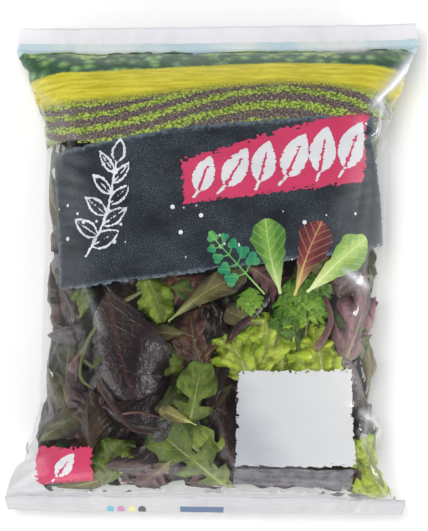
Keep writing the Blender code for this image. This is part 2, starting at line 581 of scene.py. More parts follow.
def petal_shape(u, v, base, tip, width, roundness=0.8):
    """A simple leaf: pointed at its base and its tip."""
    x, y, length, share = beside_line(u, v, base, tip)
    half = width / 2 * np.sin(np.pi * share**roundness) ** 0.75
    beyond = np.maximum(np.abs(x - length / 2) - length / 2, 0)
    return half - np.abs(y) - beyond


def brushed(u, v, value, amount, seed, streak=(5.0, 0.9), degrees=0.0):
    """The same shape with the rough edge and the dry streaks of a brush that ran along this direction."""
    x, y = turned(u, v, (0, 0), degrees)
    rough = noise(x, y, streak[1] * 1.6, seed) * 0.45 + noise(x, y, 3.1, seed + 1) * 0.35
    bristles = noise(x / streak[0], y, streak[1], seed + 2)
    dry = smoothstep(-value, -5.0, 0.0) * np.maximum(bristles - 0.35, 0) * 5.0
    specks = smoothstep(-value, -4.0, 0.0) * np.maximum(noise(x, y, streak[1], seed + 3) - 0.5, 0) * 5.0
    return value + amount * (rough - dry - specks)


# ---------------------------------------------------------------- the print's design

SLATE = (
    (-103, -14), (-80, -11), (9, 0), (121, 15), (112, 46),
    (97, 105), (20, 93), (-42, 85), (-112, 80), (-108, 44),
)
STROKE = ((-20, 40), (52, 49), (96, 55), (94, 101), (39, 85), (-23, 71))
LABEL = {"centre": (53.5, -90.7), "size": (74, 56.5), "corner": 2.0}
NOTE_BAND = {"centre": (53, -127), "size": (72, 16), "degrees": -2.0, "corner": 2.0}
TAG = {"centre": (-87, -121), "size": (35, 24), "degrees": 7.0, "corner": 2.0}
BACK_PANEL = {"centre": (182, 10), "size": (66, 128), "corner": 4.0}
FIELDS_LOW = 78  # the countryside runs this low beside the slate, all round the tube
STROKE_LEANS = (5, 9, 4, 8, 3, 7)  # how far each leaf on the stroke leans, in mm


def slate_shape(u, v):
    return brushed(u, v, corners_shape(u, v, SLATE), 0.8, 11, degrees=6)


def stroke_shape(u, v):
    return brushed(u, v, corners_shape(u, v, STROKE), 2.2, 21, degrees=9)


def stroke_leaves(u, v):
    """A row of plain leaves painted in white on the brush stroke, each on a short stalk."""
    value = nowhere(u)
    for i, lean in enumerate(STROKE_LEANS):
        x = -9 + 18.6 * i
        y = 56.5 + 3.5 * i
        grow = 1 + 0.06 * i
        base, tip = (x - lean / 2, y - 8.5 * grow), (x + lean, y + 13 * grow)
        leaf = petal_shape(u, v, base, tip, 14.0 * grow)
        vein = line_shape(u, v, base, (x + lean * 0.6, y + 7 * grow), 1.9, 0.6)
        stalk = line_shape(u, v, (x - lean, y - 12.5 * grow), base, 1.8, 2.2)
        value = np.maximum(value, np.maximum(np.minimum(leaf, -vein), stalk))
    return brushed(u, v, value, 0.5, 31)


def sprig_shape(u, v):
    """A sprig drawn in chalk: a bent stem with pairs of open leaves."""
    value = nowhere(u)
    path = [(-82 + 22 * i / 9 + 3.5 * math.sin(i / 2.2), 8 + 58 * i / 9) for i in range(10)]
    for a, b in zip(path, path[1:]):
        value = np.maximum(value, line_shape(u, v, a, b, 1.8, 1.5))
    for i in range(1, 9):
        side = 1 if i % 2 else -1
        reach = 19 - 1.1 * i
        base = path[i]
        tip = (base[0] + side * reach, base[1] + 9 + 0.6 * i)
        outer = petal_shape(u, v, base, tip, reach * 0.62)
        value = np.maximum(value, np.minimum(outer, 1.5 - outer))
        value = np.maximum(value, line_shape(u, v, base, tip, 0.9, 0.7))
    top = petal_shape(u, v, path[9], (path[9][0] + 3, path[9][1] + 14), 9)
    value = np.maximum(value, np.minimum(top, 1.5 - top))
    chalk = noise(u, v, 0.8, 41) * 0.5 + noise(u, v, 2.3, 42) * 0.3 - 0.1
    return np.where(value > -3, value + chalk, value)


DROPS = 34
DROPS_FROM = (-108, 6)
DROPS_TO = (112, 40)


def drops_shape(u, v):
    """A few drops and chalk dots on the slate."""
    value = nowhere(u)
    places = np.random.default_rng(5).uniform(DROPS_FROM, DROPS_TO, (DROPS, 2))
    for i, (x, y) in enumerate(places):
        value = np.maximum(value, 0.55 + 0.4 * (i % 3) - np.hypot(u - x, v - y))
    return value


def spot_shape(u, v, centre, radius):
    return radius - np.hypot(u - centre[0], v - centre[1])


def ground_shape(u, v):
    """Pale ink along the bottom, with an uneven upper edge that runs up in narrow pegs.

    It leaves the right corner clear, and runs up along the left side.
    """
    waves = np.abs(np.sin(np.pi * (u / 9.0 + 0.9 * noise(u, 0 * u, 26, 111))))
    pegs = 6.5 * (1 - waves) ** 2.4 * (0.7 + 0.7 * noise(u, 0 * u, 12, 112))
    top = -143.6 + pegs + 1.1 * noise(u, 0 * u, 5, 113)
    right_corner = smoothstep(u, 88, 98) * smoothstep(150 - u, 0, 8)
    from_left_side = np.abs(np.where(u > SHEET_WIDTH, u - SHEET_ROUND, u) + SHEET_SIDE)
    left_side = smoothstep(-from_left_side, -31, -20) * (29 + 5 * noise(u, 0 * u, 6, 114))
    return top - 12.0 * right_corner + left_side - v


def label_shape(u, v):
    return brushed(u, v, box_shape(u, v, **LABEL), 1.3, 51, streak=(1.4, 1.1))


def note_shape(u, v):
    return brushed(u, v, box_shape(u, v, **NOTE_BAND), 1.1, 61)


def tag_shape(u, v):
    return brushed(u, v, box_shape(u, v, **TAG), 1.2, 71, streak=(1.8, 1.0), degrees=TAG["degrees"])


def tag_leaf(u, v):
    """A small plain leaf on the tag."""
    leaf = petal_shape(u, v, (-90, -128), (-82, -112), 10.5)
    vein = line_shape(u, v, (-90, -128), (-84.5, -117), 1.4, 0.5)
    stalk = line_shape(u, v, (-92.5, -131.5), (-90, -128), 1.4, 1.6)
    return brushed(u, v, np.maximum(np.minimum(leaf, -vein), stalk), 0.4, 81)


def but_not(shape, *above):
    """A shape without the parts that later fields of ink take."""

    def rest(u, v):
        value = shape(u, v)
        for other in above:
            value = np.minimum(value, -other(u, v))
        return value

    return rest


# The pictured leaves at the slate's lower edge: kind, base, tip, width, and how blunt their tips are
PICTURED_LEAVES = (
    ("pale", (58, -14), (98, 20), 24, 0.95),
    ("red", (50, -16), (66, 30), 25, 1.2),
    ("green", (41, -15), (30, 31), 25, 1.1),
    ("sprig", (31, -15), (-2, 20), 17, 0.8),
)


def wavy_leaf(u, v, index):
    """A salad leaf with a blunt, gently waved margin and a short stalk."""
    _, base, tip, width, blunt = PICTURED_LEAVES[index]
    x, y, length, share = beside_line(u, v, base, tip)
    half = width / 2 * np.clip(share * 1.25, 0, 1) ** blunt * np.clip((1 - share) * 4.2, 0, 1) ** 0.5
    waves = 1.3 * noise(x, 9 * np.sign(y), 4.0, 121 + index) * smoothstep(share, 0.25, 0.5)
    half = np.maximum(half, 1 - share) + waves
    beyond = np.maximum(np.abs(x - length / 2) - length / 2, 0)
    return half - np.abs(y) - beyond * 3


def lobed_spot(u, v, centre, radius, turn):
    """A leaflet of three round lobes about a centre."""
    value = nowhere(u)
    for i in range(3):
        angle = turn + 2 * math.pi * i / 3
        x = centre[0] + 0.5 * radius * math.cos(angle)
        y = centre[1] + 0.5 * radius * math.sin(angle)
        value = np.maximum(value, 0.62 * radius - np.hypot(u - x, v - y))
    return value


def sprig_of_rounds(u, v, index):
    """A thin stalk with lobed leaflets in pairs."""
    _, base, tip, width, _ = PICTURED_LEAVES[index]
    value = line_shape(u, v, base, tip, 1.1, 0.7)
    along = np.subtract(tip, base)
    aside = np.array([-along[1], along[0]]) / math.hypot(*along)
    for i, share in enumerate((0.36, 0.52, 0.68, 0.82)):
        for side in (-1, 1):
            stem = np.add(base, along * share)
            middle = stem + aside * side * width * (0.52 - 0.07 * i) + along * 0.07
            leaflet = lobed_spot(u, v, middle, 4.3 - 0.55 * i, i + 0.5 * side)
            value = np.maximum(value, np.maximum(leaflet, line_shape(u, v, stem, middle, 0.8, 0.8)))
    return np.maximum(value, lobed_spot(u, v, tip, 3.4, 4.0))


def pictured_leaf(index):
    """The shape of one of the pictured leaves, as a function of (u, v)."""
    draw = sprig_of_rounds if PICTURED_LEAVES[index][0] == "sprig" else wavy_leaf

    def shape(u, v):
        return draw(u, v, index)

    return shape


def sky_shape(u, v):
    """The countryside's sky is on the outside, and runs a little way up the top band."""
    return np.minimum(151.4 + 0.25 * noise(u, 0 * u, 3, 103) - v, v - 140.2)


def fields_shape(u, v):
    """The countryside runs all round the tube, from the top weld down to a brushed edge."""
    low = FIELDS_LOW + 17 * smoothstep(u, 88, 104) * smoothstep(190 - u, 0, 40) + 2.0 * np.sin(u / 9.0)
    return brushed(u, v, v - low, 1.1, 101)


# ---------------------------------------------------------------- leaves


@dataclass
class Kind:
    """How one kind of leaf is shaped. Lengths are in mm, angles in radians."""

    outline: object  # its half width at each share of its length, as a share of the widest
    step: float = 1.4  # between mesh points
    fold: float = 0.15  # how far each half of the blade is turned down from the midrib
    curl: float = 0.5  # how much further it turns towards the margin
    curl_reach: float = 1.0  # how far out on each half the curl is full
    wobble: float = 0.35  # how unevenly it turns
    arch: float = 0.5  # how far the midrib turns down from base to tip
    twist: float = 0.3
    ruffle: float = 1.0  # how high its margin waves
    ruffle_length: float = 16.0
    ruffle_inset: float = 2.5  # higher keeps the waves nearer the margin
    blister: float = 0.4  # how high the blade swells between its veins
    blister_size: float = 6.0
    rib: float = 0.8  # how high its midrib stands
    rib_width: float = 1.6
    side_veins: float = 7.0
    sweep: float = 0.25  # how far its margin runs ahead of its midrib
    lobes: float = 0.06  # how uneven its outline is
    teeth: float = 0.03
    tooth: float = 2.6
    crimp: float = 0.0  # how high the finest waves at its margin are


def rise_and_fall(s, rise, fall):
    """0 at both ends and 1 at its highest, which is nearer the tip as rise grows against fall."""
    top = rise / (rise + fall)
    return (np.maximum(s, 0) ** rise * np.maximum(1 - s, 0) ** fall) / (top**rise * (1 - top) ** fall)


def broad_outline(s):
    return np.maximum(rise_and_fall(s, 0.7, 0.5), 0.05)


def fan_outline(s):
    return np.maximum(rise_and_fall(s, 0.8, 0.48), 0.09)


def spoon_outline(s):
    return np.maximum(rise_and_fall(s, 1.5, 0.5), 0.08)


def rocket_outline(s):
    notches = smoothstep(np.cos(2 * np.pi * (s - 0.10) / 0.23), -0.3, 0.75)
    lobes = 1 - 0.74 * notches * smoothstep(0.72 - s, 0, 0.12)
    return np.maximum(rise_and_fall(s, 0.75, 0.5) * lobes, 0.06)


def oak_outline(s):
    lobes = 1 - 0.5 * smoothstep(np.cos(2 * np.pi * (s - 0.06) / 0.2), -0.2, 0.9)
    return np.maximum(rise_and_fall(s, 0.8, 0.33) * lobes, 0.07)


def chervil_outline(s):
    lobes = 1 - 0.5 * smoothstep(np.cos(2 * np.pi * (s - 0.05) / 0.34), 0.0, 1.0)
    return np.maximum(rise_and_fall(s, 0.6, 0.55) * lobes, 0.08)


KINDS = {
    "red": Kind(
        broad_outline, fold=0.12, curl=0.75, curl_reach=0.36, wobble=0.1, arch=0.4, ruffle=0.8,
        ruffle_length=22, blister=0.25, rib=0.4, side_veins=6.0, lobes=0.02, teeth=0.0,
    ),
    "frilly": Kind(
        fan_outline, step=0.85, fold=0.1, curl=0.4, arch=0.7, ruffle=4.0, ruffle_length=15, ruffle_inset=1.6,
        blister=2.8, blister_size=8.0, rib=1.2, rib_width=2.6, side_veins=5.0, sweep=0.12, lobes=0.07,
        teeth=0.018, tooth=4.2, crimp=1.5,
    ),
    "curly": Kind(
        fan_outline, step=1.1, fold=0.2, curl=0.6, arch=0.9, twist=0.6, ruffle=3.0, ruffle_length=11,
        ruffle_inset=1.8, blister=1.6, blister_size=7.0, rib=1.0, rib_width=2.2, side_veins=5.0, sweep=0.15,
        lobes=0.08, teeth=0.03, tooth=4.0, crimp=1.4,
    ),
    "rocket": Kind(
        rocket_outline, step=1.0, fold=-0.25, curl=0.7, arch=0.6, ruffle=0.9, ruffle_length=18, blister=0.25,
        rib=0.5, rib_width=1.2, side_veins=6.0, sweep=0.35, lobes=0.05, teeth=0.0,
    ),
    "oak": Kind(
        oak_outline, step=1.1, fold=0.2, curl=0.9, arch=0.7, twist=0.5, ruffle=2.2, ruffle_length=13,
        blister=0.6, rib=0.8, rib_width=1.8, side_veins=6.0, sweep=0.5, lobes=0.12, teeth=0.04, tooth=3.2,
        crimp=0.8,
    ),
    "spoon": Kind(
        spoon_outline, fold=-0.3, curl=0.7, arch=0.6, ruffle=0.9, ruffle_length=22, rib=0.8, rib_width=1.8,
        teeth=0.0, lobes=0.04,
    ),
    "chervil": Kind(
        chervil_outline, step=0.75, fold=0.1, curl=0.5, arch=0.5, ruffle=1.2, ruffle_length=10, blister=0.3,
        blister_size=3.0, rib=0.3, rib_width=0.7, side_veins=4.0, sweep=0.2, lobes=0.14, teeth=0.0,
    ),
}


@dataclass
class Leaf:
    """Where a leaf lies and how it differs from others of its kind. Lengths are in mm."""

    kind: str
    base: tuple  # (u, v) of its stalk's end
    tip: tuple  # (u, v)
    width: float
    depth: float  # of its middle, from the film
    slope: float = 0.0  # how much deeper its tip lies than its base
    bend: float = 0.0  # how many radians its midrib turns
    # deep leaves are given dark tones, as painted shade
    tone: float = 0.5  # from 0, dark, to 1, light
    coarse: float = 1.0  # how many times larger its mesh steps are
    curl: float = 1.0  # how strongly it curls beside others of its kind


def quilt(x, y, size, seed):
    """Bulges that meet in sharp valleys, from about -1 to 1."""
    return 2.4 * np.abs(noise(x, y, size, seed)) ** 0.7 - 1


def leaf_half(kind, leaf, side, grid, seed):
    """One half of a leaf's blade: how far each point lies beside, above and ahead of its midrib, in mm, and
    its painted shade.
    """
    s, reach = grid
    length = math.dist(leaf.base, leaf.tip)
    wild = np.random.default_rng(seed).uniform(0.5, 1.5, 4)
    half = leaf.width / 2 * kind.outline(s)
    steps = np.hypot(np.diff(s, axis=0) * length, np.diff(half, axis=0))
    margin = np.concatenate([np.zeros_like(s[:1]), np.cumsum(steps, 0)])  # how far along the margin, in mm
    curled = np.minimum(reach / kind.curl_reach, 1) ** 1.7
    turn = kind.fold * wild[0] + kind.curl * leaf.curl * wild[1] * curled
    turn = turn + kind.wobble * noise(s * length, reach * 8 + 20 * side, 17, seed + 2)
    run = half / (reach.shape[1] - 1)
    beside = np.cumsum(np.cos(turn) * run, 1) - np.cos(turn[:, :1]) * run
    above = -np.cumsum(np.sin(turn) * run, 1) + np.sin(turn[:, :1]) * run
    # the margin's waves, and the lobes that go with them
    phase = margin / kind.ruffle_length + 0.5 * wild[2]
    phase = phase + 0.45 * noise(margin, reach * 7 + 9 * side, 15, seed + 3)
    height = kind.ruffle * wild[3] * reach**kind.ruffle_inset * smoothstep(s, 0.08, 0.35)
    height = height * (1 + 0.6 * noise(margin, reach * 2 + side, 21, seed + 4))
    above = above + height * np.sin(2 * np.pi * phase)
    fine = 2 * np.pi * (margin / kind.tooth + 0.6 * noise(margin, reach + side, 9, seed + 11))
    above = above + kind.crimp * reach**5 * np.sin(fine)
    lobes = 1.5 * np.abs(np.sin(np.pi * phase)) ** 0.55 - 1.1 + 0.6 * noise(margin, side + 0 * s, 8, seed + 1)
    grow = kind.lobes * lobes
    uneven = 1 + 0.9 * noise(margin, 3 * side + 0 * s, 7, seed + 12)
    grow = (grow + kind.teeth * uneven * np.cos(fine)) * reach**3
    ahead = kind.sweep * half * reach**1.6
    beside = beside * (1 + grow)
    ahead = ahead + (s * length + ahead - 0.4 * length) * grow
    # the blade swells between its side veins
    vein = s * kind.side_veins - reach * half / length * kind.side_veins * 0.9 + 0.13 * side
    swell = np.sin(np.pi * (vein - np.floor(vein))) ** 0.6
    swell = swell * smoothstep(reach, 0.02, 0.25) * smoothstep(1.1 - reach, 0, 0.5)
    x, y = beside + 50 + 50 * side, s * length
    rough = quilt(x, y, kind.blister_size, seed + 5) + 0.5 * quilt(x, y, kind.blister_size * 0.55, seed + 6)
    relief = kind.blister * (0.5 * swell - 0.25 + 0.6 * rough * smoothstep(reach, 0.03, 0.3))
    rib = np.exp(-((reach * half / (kind.rib_width * (1.25 - s))) ** 2))
    relief = relief + kind.rib * rib * (1.1 - s)
    # painted shade: dark in the hollows, light on the swellings and on the crests of the margin's waves
    shade = relief / (kind.blister + 0.2) + 0.5 * np.sin(2 * np.pi * phase) * reach**2
    return beside * side, above + relief, ahead, shade


def leaf_surface(film, leaf, seed):
    """The leaf's points, the places (s, t) on its blade that they stand for, its painted shade, which follows
    its relief, and its grid size.
    """
    kind = KINDS[leaf.kind]
    along = np.subtract(leaf.tip, leaf.base)
    length = math.hypot(*along)
    step = kind.step * leaf.coarse
    columns = max(round((length + 0.25 * leaf.width) / step), 8) + 1
    side_rows = max(round(leaf.width / 2 / step), 3) + 1
    # closer together towards the tip, where the margin turns
    spread = 1 - (1 - np.linspace(0, 1, columns)) ** 1.5
    s, reach = np.meshgrid(spread, np.linspace(0, 1, side_rows), indexing="ij")
    left = leaf_half(kind, leaf, -1.0, (s, reach), seed)
    right = leaf_half(kind, leaf, 1.0, (s, reach), seed + 500)
    beside, above, ahead, relief = (np.concatenate([a[:, :0:-1], b], 1) for a, b in zip(left, right))
    s = np.concatenate([s[:, :0:-1], s], 1)
    t = np.concatenate([-reach[:, :0:-1], reach], 1)
    wild = np.random.default_rng(seed + 7).uniform(-1, 1, 3)
    twist = kind.twist * wild[0] * (s - 0.4)
    sine, cosine = np.sin(twist), np.cos(twist)
    beside, above = beside * cosine - above * sine, beside * sine + above * cosine
    pitch = leaf.slope / length + kind.arch * (0.6 + 0.4 * wild[1]) * (s - 0.45)
    pitch = pitch + 0.3 * noise(s * length, np.zeros_like(s), 24, seed + 8)
    heading = leaf.bend * (s - 0.5) + 0.12 * noise(s * length, np.ones_like(s), 22, seed + 9)
    run = np.diff(s, axis=0, prepend=0.0) * length
    sunk = np.cumsum(np.sin(pitch) * run, 0)
    sunk = sunk - sunk[columns // 2]
    centre_x = np.cumsum(np.sin(heading) * run, 0)
    centre_y = np.cumsum(np.cos(heading) * run, 0)
    forward = ahead + above * np.sin(pitch)
    x = centre_x + beside * np.cos(heading) + forward * np.sin(heading)
    y = centre_y - beside * np.sin(heading) + forward * np.cos(heading)
    direction = along / length
    u = leaf.base[0] + x * direction[1] + y * direction[0]
    v = leaf.base[1] - x * direction[0] + y * direction[1]
    depth = leaf.depth + sunk - above * np.cos(pitch)
    return film.inside(u, v, depth * MM), np.stack([s, t], -1), relief, s.shape


def leaf_piece(film, name, leaves, material, first_seed):
    """All the leaves of one kind, as one mesh."""
    points, blades, tones, painted_shades, faces, count = [], [], [], [], [], 0
    for i, leaf in enumerate(leaves):
        places, blade, relief, size = leaf_surface(film, leaf, first_seed + 10 * i)
        points.append(places.reshape(-1, 3))
        blades.append(blade.reshape(-1, 2))
        tones.append(np.full(size[0] * size[1], leaf.tone))
        painted_shades.append(relief.ravel())
        faces += (np.array(grid_faces(*size)) + count).tolist()
        count += size[0] * size[1]
    # the relief attribute carries each point's painted shade
    return mesh_piece(
        name, np.concatenate(points), faces, material, uv=np.concatenate(blades), uv_name="blade",
        values={"tone": np.concatenate(tones), "relief": np.concatenate(painted_shades)},
    )


STALK_SIDES = 8
STALK_STEP = 1.2  # mm between its rings


def stalk_piece(film, name, stalks, material):
    """Stalks and ribs: each has places (u, v), its width at each end, its depth, all in mm, and its tone."""
    sides = STALK_SIDES
    points, blades, tones, faces, count = [], [], [], [], 0
    for path, start_width, end_width, depth, tone in stalks:
        path = smooth_path(path, STALK_STEP)
        n = len(path)
        share = np.linspace(0, 1, n)
        heading = unit(np.gradient(path, axis=0))
        width = start_width * (1 - share) + end_width * share
        width *= np.minimum(1, np.sqrt(np.sin(np.pi * np.clip(share, 0.01, 0.99)) * 3))
        angle = np.linspace(0, 2 * np.pi, sides, endpoint=False)
        off = np.cos(angle)[None] * width[:, None] / 2
        u = path[:, :1] - heading[:, 1:] * off
        v = path[:, 1:] + heading[:, :1] * off
        into = depth - np.sin(angle)[None] * width[:, None] / 2
        points.append(film.inside(u, v, into * MM).reshape(-1, 3))
        blades.append(np.stack([share[:, None] + 0 * off, np.sin(angle)[None] + 0 * off], -1).reshape(-1, 2))
        tones.append(np.full(n * sides, tone))
        for i in range(n - 1):
            for k in range(sides):
                a = count + i * sides + k
                b = count + i * sides + (k + 1) % sides
                faces.append([a, b, b + sides, a + sides])
        faces.append([count + k for k in range(sides)][::-1])
        faces.append([count + (n - 1) * sides + k for k in range(sides)])
        count += n * sides
    tones = np.concatenate(tones)
    # stalks get no painted shade from relief
    return mesh_piece(
        name, np.concatenate(points), faces, material, uv=np.concatenate(blades), uv_name="blade",
        values={"tone": tones, "relief": np.zeros_like(tones)},
    )


def smooth_path(places, step):
    """A smooth curve through the places, with a point every step."""
    places = np.array(places, float)
    padded = np.concatenate([[2 * places[0] - places[1]], places, [2 * places[-1] - places[-2]]])
    path = []
    for a, b, c, d in zip(padded, padded[1:], padded[2:], padded[3:]):
        n = max(2, round(math.dist(b, c) / step))
        for i in range(n):
            t = i / n
            bend = 2 * b + (c - a) * t + (2 * a - 5 * b + 4 * c - d) * t**2 + (3 * b - a - 3 * c + d) * t**3
            path.append(bend / 2)
    path.append(places[-1])
    return np.array(path)


# ---------------------------------------------------------------- where the leaves lie

# The leaves against the front of the film
FRONT_LEAVES = (
    # behind, in the gaps between the rest
    Leaf("curly", (-78, 6), (-48, -36), 46, 6.5, tone=0.15),
    Leaf("red", (18, -126), (2, -56), 50, 5.5, 1.0, tone=0.45, curl=0.4),
    Leaf("curly", (-2, -76), (-14, -24), 42, 5.0, tone=0.6),
    Leaf("curly", (-12, -58), (16, -20), 32, 4.8, tone=0.0),
    Leaf("red", (8, -46), (50, -4), 32, 5.0, tone=0.6, curl=1.4),
    Leaf("red", (84, -54), (112, -92), 34, 3.5, tone=0.95, curl=1.3),
    Leaf("curly", (-38, 4), (-8, -14), 28, 6.0, tone=0.7),
    Leaf("oak", (16, 6), (44, -16), 24, 5.5, tone=0.5),
    Leaf("spoon", (108, -26), (121, -78), 24, 4.5, tone=0.85),
    Leaf("frilly", (80, -50), (104, -20), 30, 6.5, tone=0.2),
    Leaf("red", (-66, -84), (-24, -104), 40, 5.5, tone=0.2),
    Leaf("red", (-20, -84), (-40, -122), 32, 6.0, tone=0.1),
    Leaf("frilly", (-20, -100), (-4, -66), 26, 7.0, tone=0.1),
    Leaf("red", (-70, 0), (-34, -12), 26, 6.5, tone=0.3),
    # the big one, which shows whole
    Leaf("red", (-66, -14), (-35, -96), 68, 1.6, 0.5, bend=-0.15, tone=0.45, curl=0.66),
    # the left side, behind a gleam on the film
    Leaf("red", (-120, -42), (-88, -34), 24, 4.8, tone=0.5, curl=1.3),
    Leaf("curly", (-112, 0), (-92, -32), 26, 5.0, tone=0.2),
    Leaf("oak", (-104, -48), (-92, -86), 28, 4.6, tone=0.25),
    Leaf("spoon", (-120, -58), (-104, -92), 22, 4.5, tone=0.25),
    Leaf("red", (-88, -52), (-96, -84), 26, 6.0, tone=0.3),
    Leaf("spoon", (-114, -112), (-88, -86), 22, 3.6, tone=0.3),
    Leaf("frilly", (-88, -30), (-87, -10), 16, 3.4, tone=0.25),
    # along the bottom
    Leaf("red", (-62, -120), (8, -132), 34, 4.4, bend=0.3, tone=0.6),
    Leaf("oak", (-22, -116), (-42, -146), 30, 3.2, bend=-0.3, tone=0.45),
    Leaf("oak", (-8, -116), (-2, -146), 30, 2.8, tone=0.3),
    Leaf("spoon", (-50, -128), (-92, -138), 22, 2.6, bend=0.3, tone=0.75),
    Leaf("spoon", (-120, -140), (-88, -128), 24, 3.4, tone=0.3),
    Leaf("red", (92, -122), (28, -140), 30, 3.4, bend=0.3, tone=0.8),
    Leaf("curly", (66, -118), (84, -142), 26, 7.0, tone=0.3),
    # the leaves that show most, and small ones on them
    Leaf("frilly", (52, -108), (38, -26), 82, 4.6, -0.6, tone=0.85),
    Leaf("frilly", (74, -92), (66, -36), 46, 3.6, tone=1.0),
    Leaf("frilly", (26, -74), (12, -38), 38, 4.2, tone=0.8),
    Leaf("frilly", (30, -76), (32, -30), 38, 3.2, tone=0.95),
    Leaf("oak", (77, -84), (113, 4), 50, 2.6, bend=0.3, tone=0.75),
    Leaf("oak", (96, -62), (122, -20), 26, 3.6, bend=0.2, tone=0.9),
    Leaf("curly", (56, 4), (116, -8), 34, 1.5, bend=-0.25, tone=0.5),
    Leaf("curly", (-70, -124), (-80, -76), 44, 2.0, bend=0.2, tone=0.3),
    Leaf("frilly", (-48, 4), (-30, -32), 24, 3.2, bend=0.3, tone=0.4),
    Leaf("frilly", (-62, -138), (-56, -104), 30, 3.0, tone=0.2),
    Leaf("frilly", (120, -164), (99, -104), 62, 2.4, bend=0.2, tone=0.95),
    Leaf("spoon", (-28, -32), (18, 0), 18, 1.6, bend=0.35, tone=0.5),
    Leaf("rocket", (18, -142), (-34, -98), 36, 1.5, bend=-0.2, tone=0.6),
    Leaf("rocket", (24, -118), (-10, -96), 16, 1.6, bend=0.25, tone=0.85),
    Leaf("rocket", (-15, -112), (-7, -58), 27, 1.0, bend=0.15, tone=0.65),
    Leaf("spoon", (-8, -94), (-32, -86), 9, 1.4, tone=0.95),
    Leaf("spoon", (34, -34), (8, -24), 14, 1.6, bend=0.3, tone=0.45),
)

# Sprigs of chervil: where the stalk starts, where its last leaflet ends, its depth and its tone
SPRIGS = (
    ((30, -32), (18, -14), 1.2, 0.8),
    ((50, -40), (55, -6), 1.8, 0.6),
    ((58, -42), (62, -14), 1.4, 0.8),
    ((66, -30), (64, -2), 1.8, 0.5),
    ((38, -48), (48, -26), 1.6, 0.45),
    ((-112, 30), (-110, 60), 1.6, 0.5),
)

# Stalks and ribs: places along each, its width at each end, its depth and its tone
GREEN_STALKS = (
    ([(-44, -13), (-62, -24), (-78, -41), (-84, -58), (-83, -68), (-74, -74)], 2.8, 2.0, 1.2, 0.6),
    ([(-83, -56), (-75, -60), (-69, -52)], 1.8, 4.0, 1.8, 0.35),
    ([(-18, -96), (-12, -104), (2, -118), (17, -137)], 2.2, 3.6, 1.2, 0.85),
    ([(97, -104), (104, -120), (112, -140)], 1.6, 4.0, 1.4, 1.0),
)
RED_STALKS = (
    ([(-73, -68), (-66, -78), (-57, -88), (-47, -97), (-34, -99)], 3.8, 2.4, 1.5, 0.3),
    ([(65, -50), (72, -40), (75, -30), (70, -16)], 6.0, 3.0, 1.4, 0.9),
    ([(-55, -88), (-44, -87), (-30, -90)], 1.4, 1.0, 1.2, 0.9),
)


def sprig_leaves(start, end, depth, tone):
    """Leaflets in pairs along a chervil stalk, smaller towards its end, and one at the end."""
    along = np.subtract(end, start)
    length = math.hypot(*along)
    ahead = along / length
    aside = np.array([ahead[1], -ahead[0]])
    leaves = []
    for i, share in enumerate((0.34, 0.40, 0.60, 0.66)):
        side = 1 if i % 2 else -1
        base = start + along * share
        tip = base + (aside * side * 0.85 + ahead * 0.55) * length * (0.52 - 0.22 * share)
        width = length * (0.64 - 0.2 * share)
        leaves.append(Leaf("chervil", tuple(base), tuple(tip), width, depth, tone=tone))
    base = start + along * 0.58
    leaves.append(Leaf("chervil", tuple(base), tuple(end), length * 0.62, depth - 0.3, tone=tone))
    return leaves


# Each kind's length and width beside the others'
SIZES = {
    "red": (1.0, 0.7),
    "frilly": (1.05, 0.85),
    "rocket": (0.9, 0.45),
    "oak": (0.95, 0.6),
    "spoon": (0.85, 0.38),
    "curly": (0.95, 0.8),
}
FILLED_ROWS = (-138, 136)
MIXED = ("red", "frilly", "oak", "spoon", "red", "rocket", "frilly", "curly")
DARK = ("red", "curly", "oak", "curly", "spoon", "red", "rocket", "curly")


def scattered_leaves(
    random, count, u_range, v_range, depths, coarse, kinds, tones=(0.1, 0.9), sizes=(48, 78), clear=None
):
    """Leaves strewn evenly over part of the sheet: one in each cell of a jittered grid."""
    leaves = []
    wide = u_range[1] - u_range[0]
    tall = v_range[1] - v_range[0]
    columns = max(1, round(math.sqrt(count * wide / tall)))
    rows = max(1, round(count / columns))
    for i in range(columns):
        for j in range(rows):
            kind = kinds[random.integers(len(kinds))]
            length = random.uniform(*sizes) * SIZES[kind][0]
            width = length * SIZES[kind][1] * random.uniform(0.8, 1.15)
            u = u_range[0] + (i + random.uniform(0.1, 0.9)) * wide / columns
            v = v_range[0] + (j + random.uniform(0.1, 0.9)) * tall / rows
            heading = random.uniform(0, 2 * math.pi)
            du, dv = length / 2 * math.cos(heading), length / 2 * math.sin(heading)
            depth, slope = random.uniform(*depths), random.uniform(-3, 3)
            bend, tone = random.uniform(-0.5, 0.5), random.uniform(*tones)
            if clear is not None and clear(u, v):
                continue
            low, high = FILLED_ROWS
            base = (u - du, min(max(v - dv, low), high))
            tip = (u + du, min(max(v + dv, low), high))
            if math.dist(base, tip) < 0.6 * length:
                continue
            leaves.append(Leaf(kind, base, tip, width, depth, slope, bend, tone, coarse))
    return leaves


def hidden_by_print(u, v):
    """Behind the front's print nothing shows, so the deepest layer has no leaves there."""
    return -92 < u < 96 and v > 14


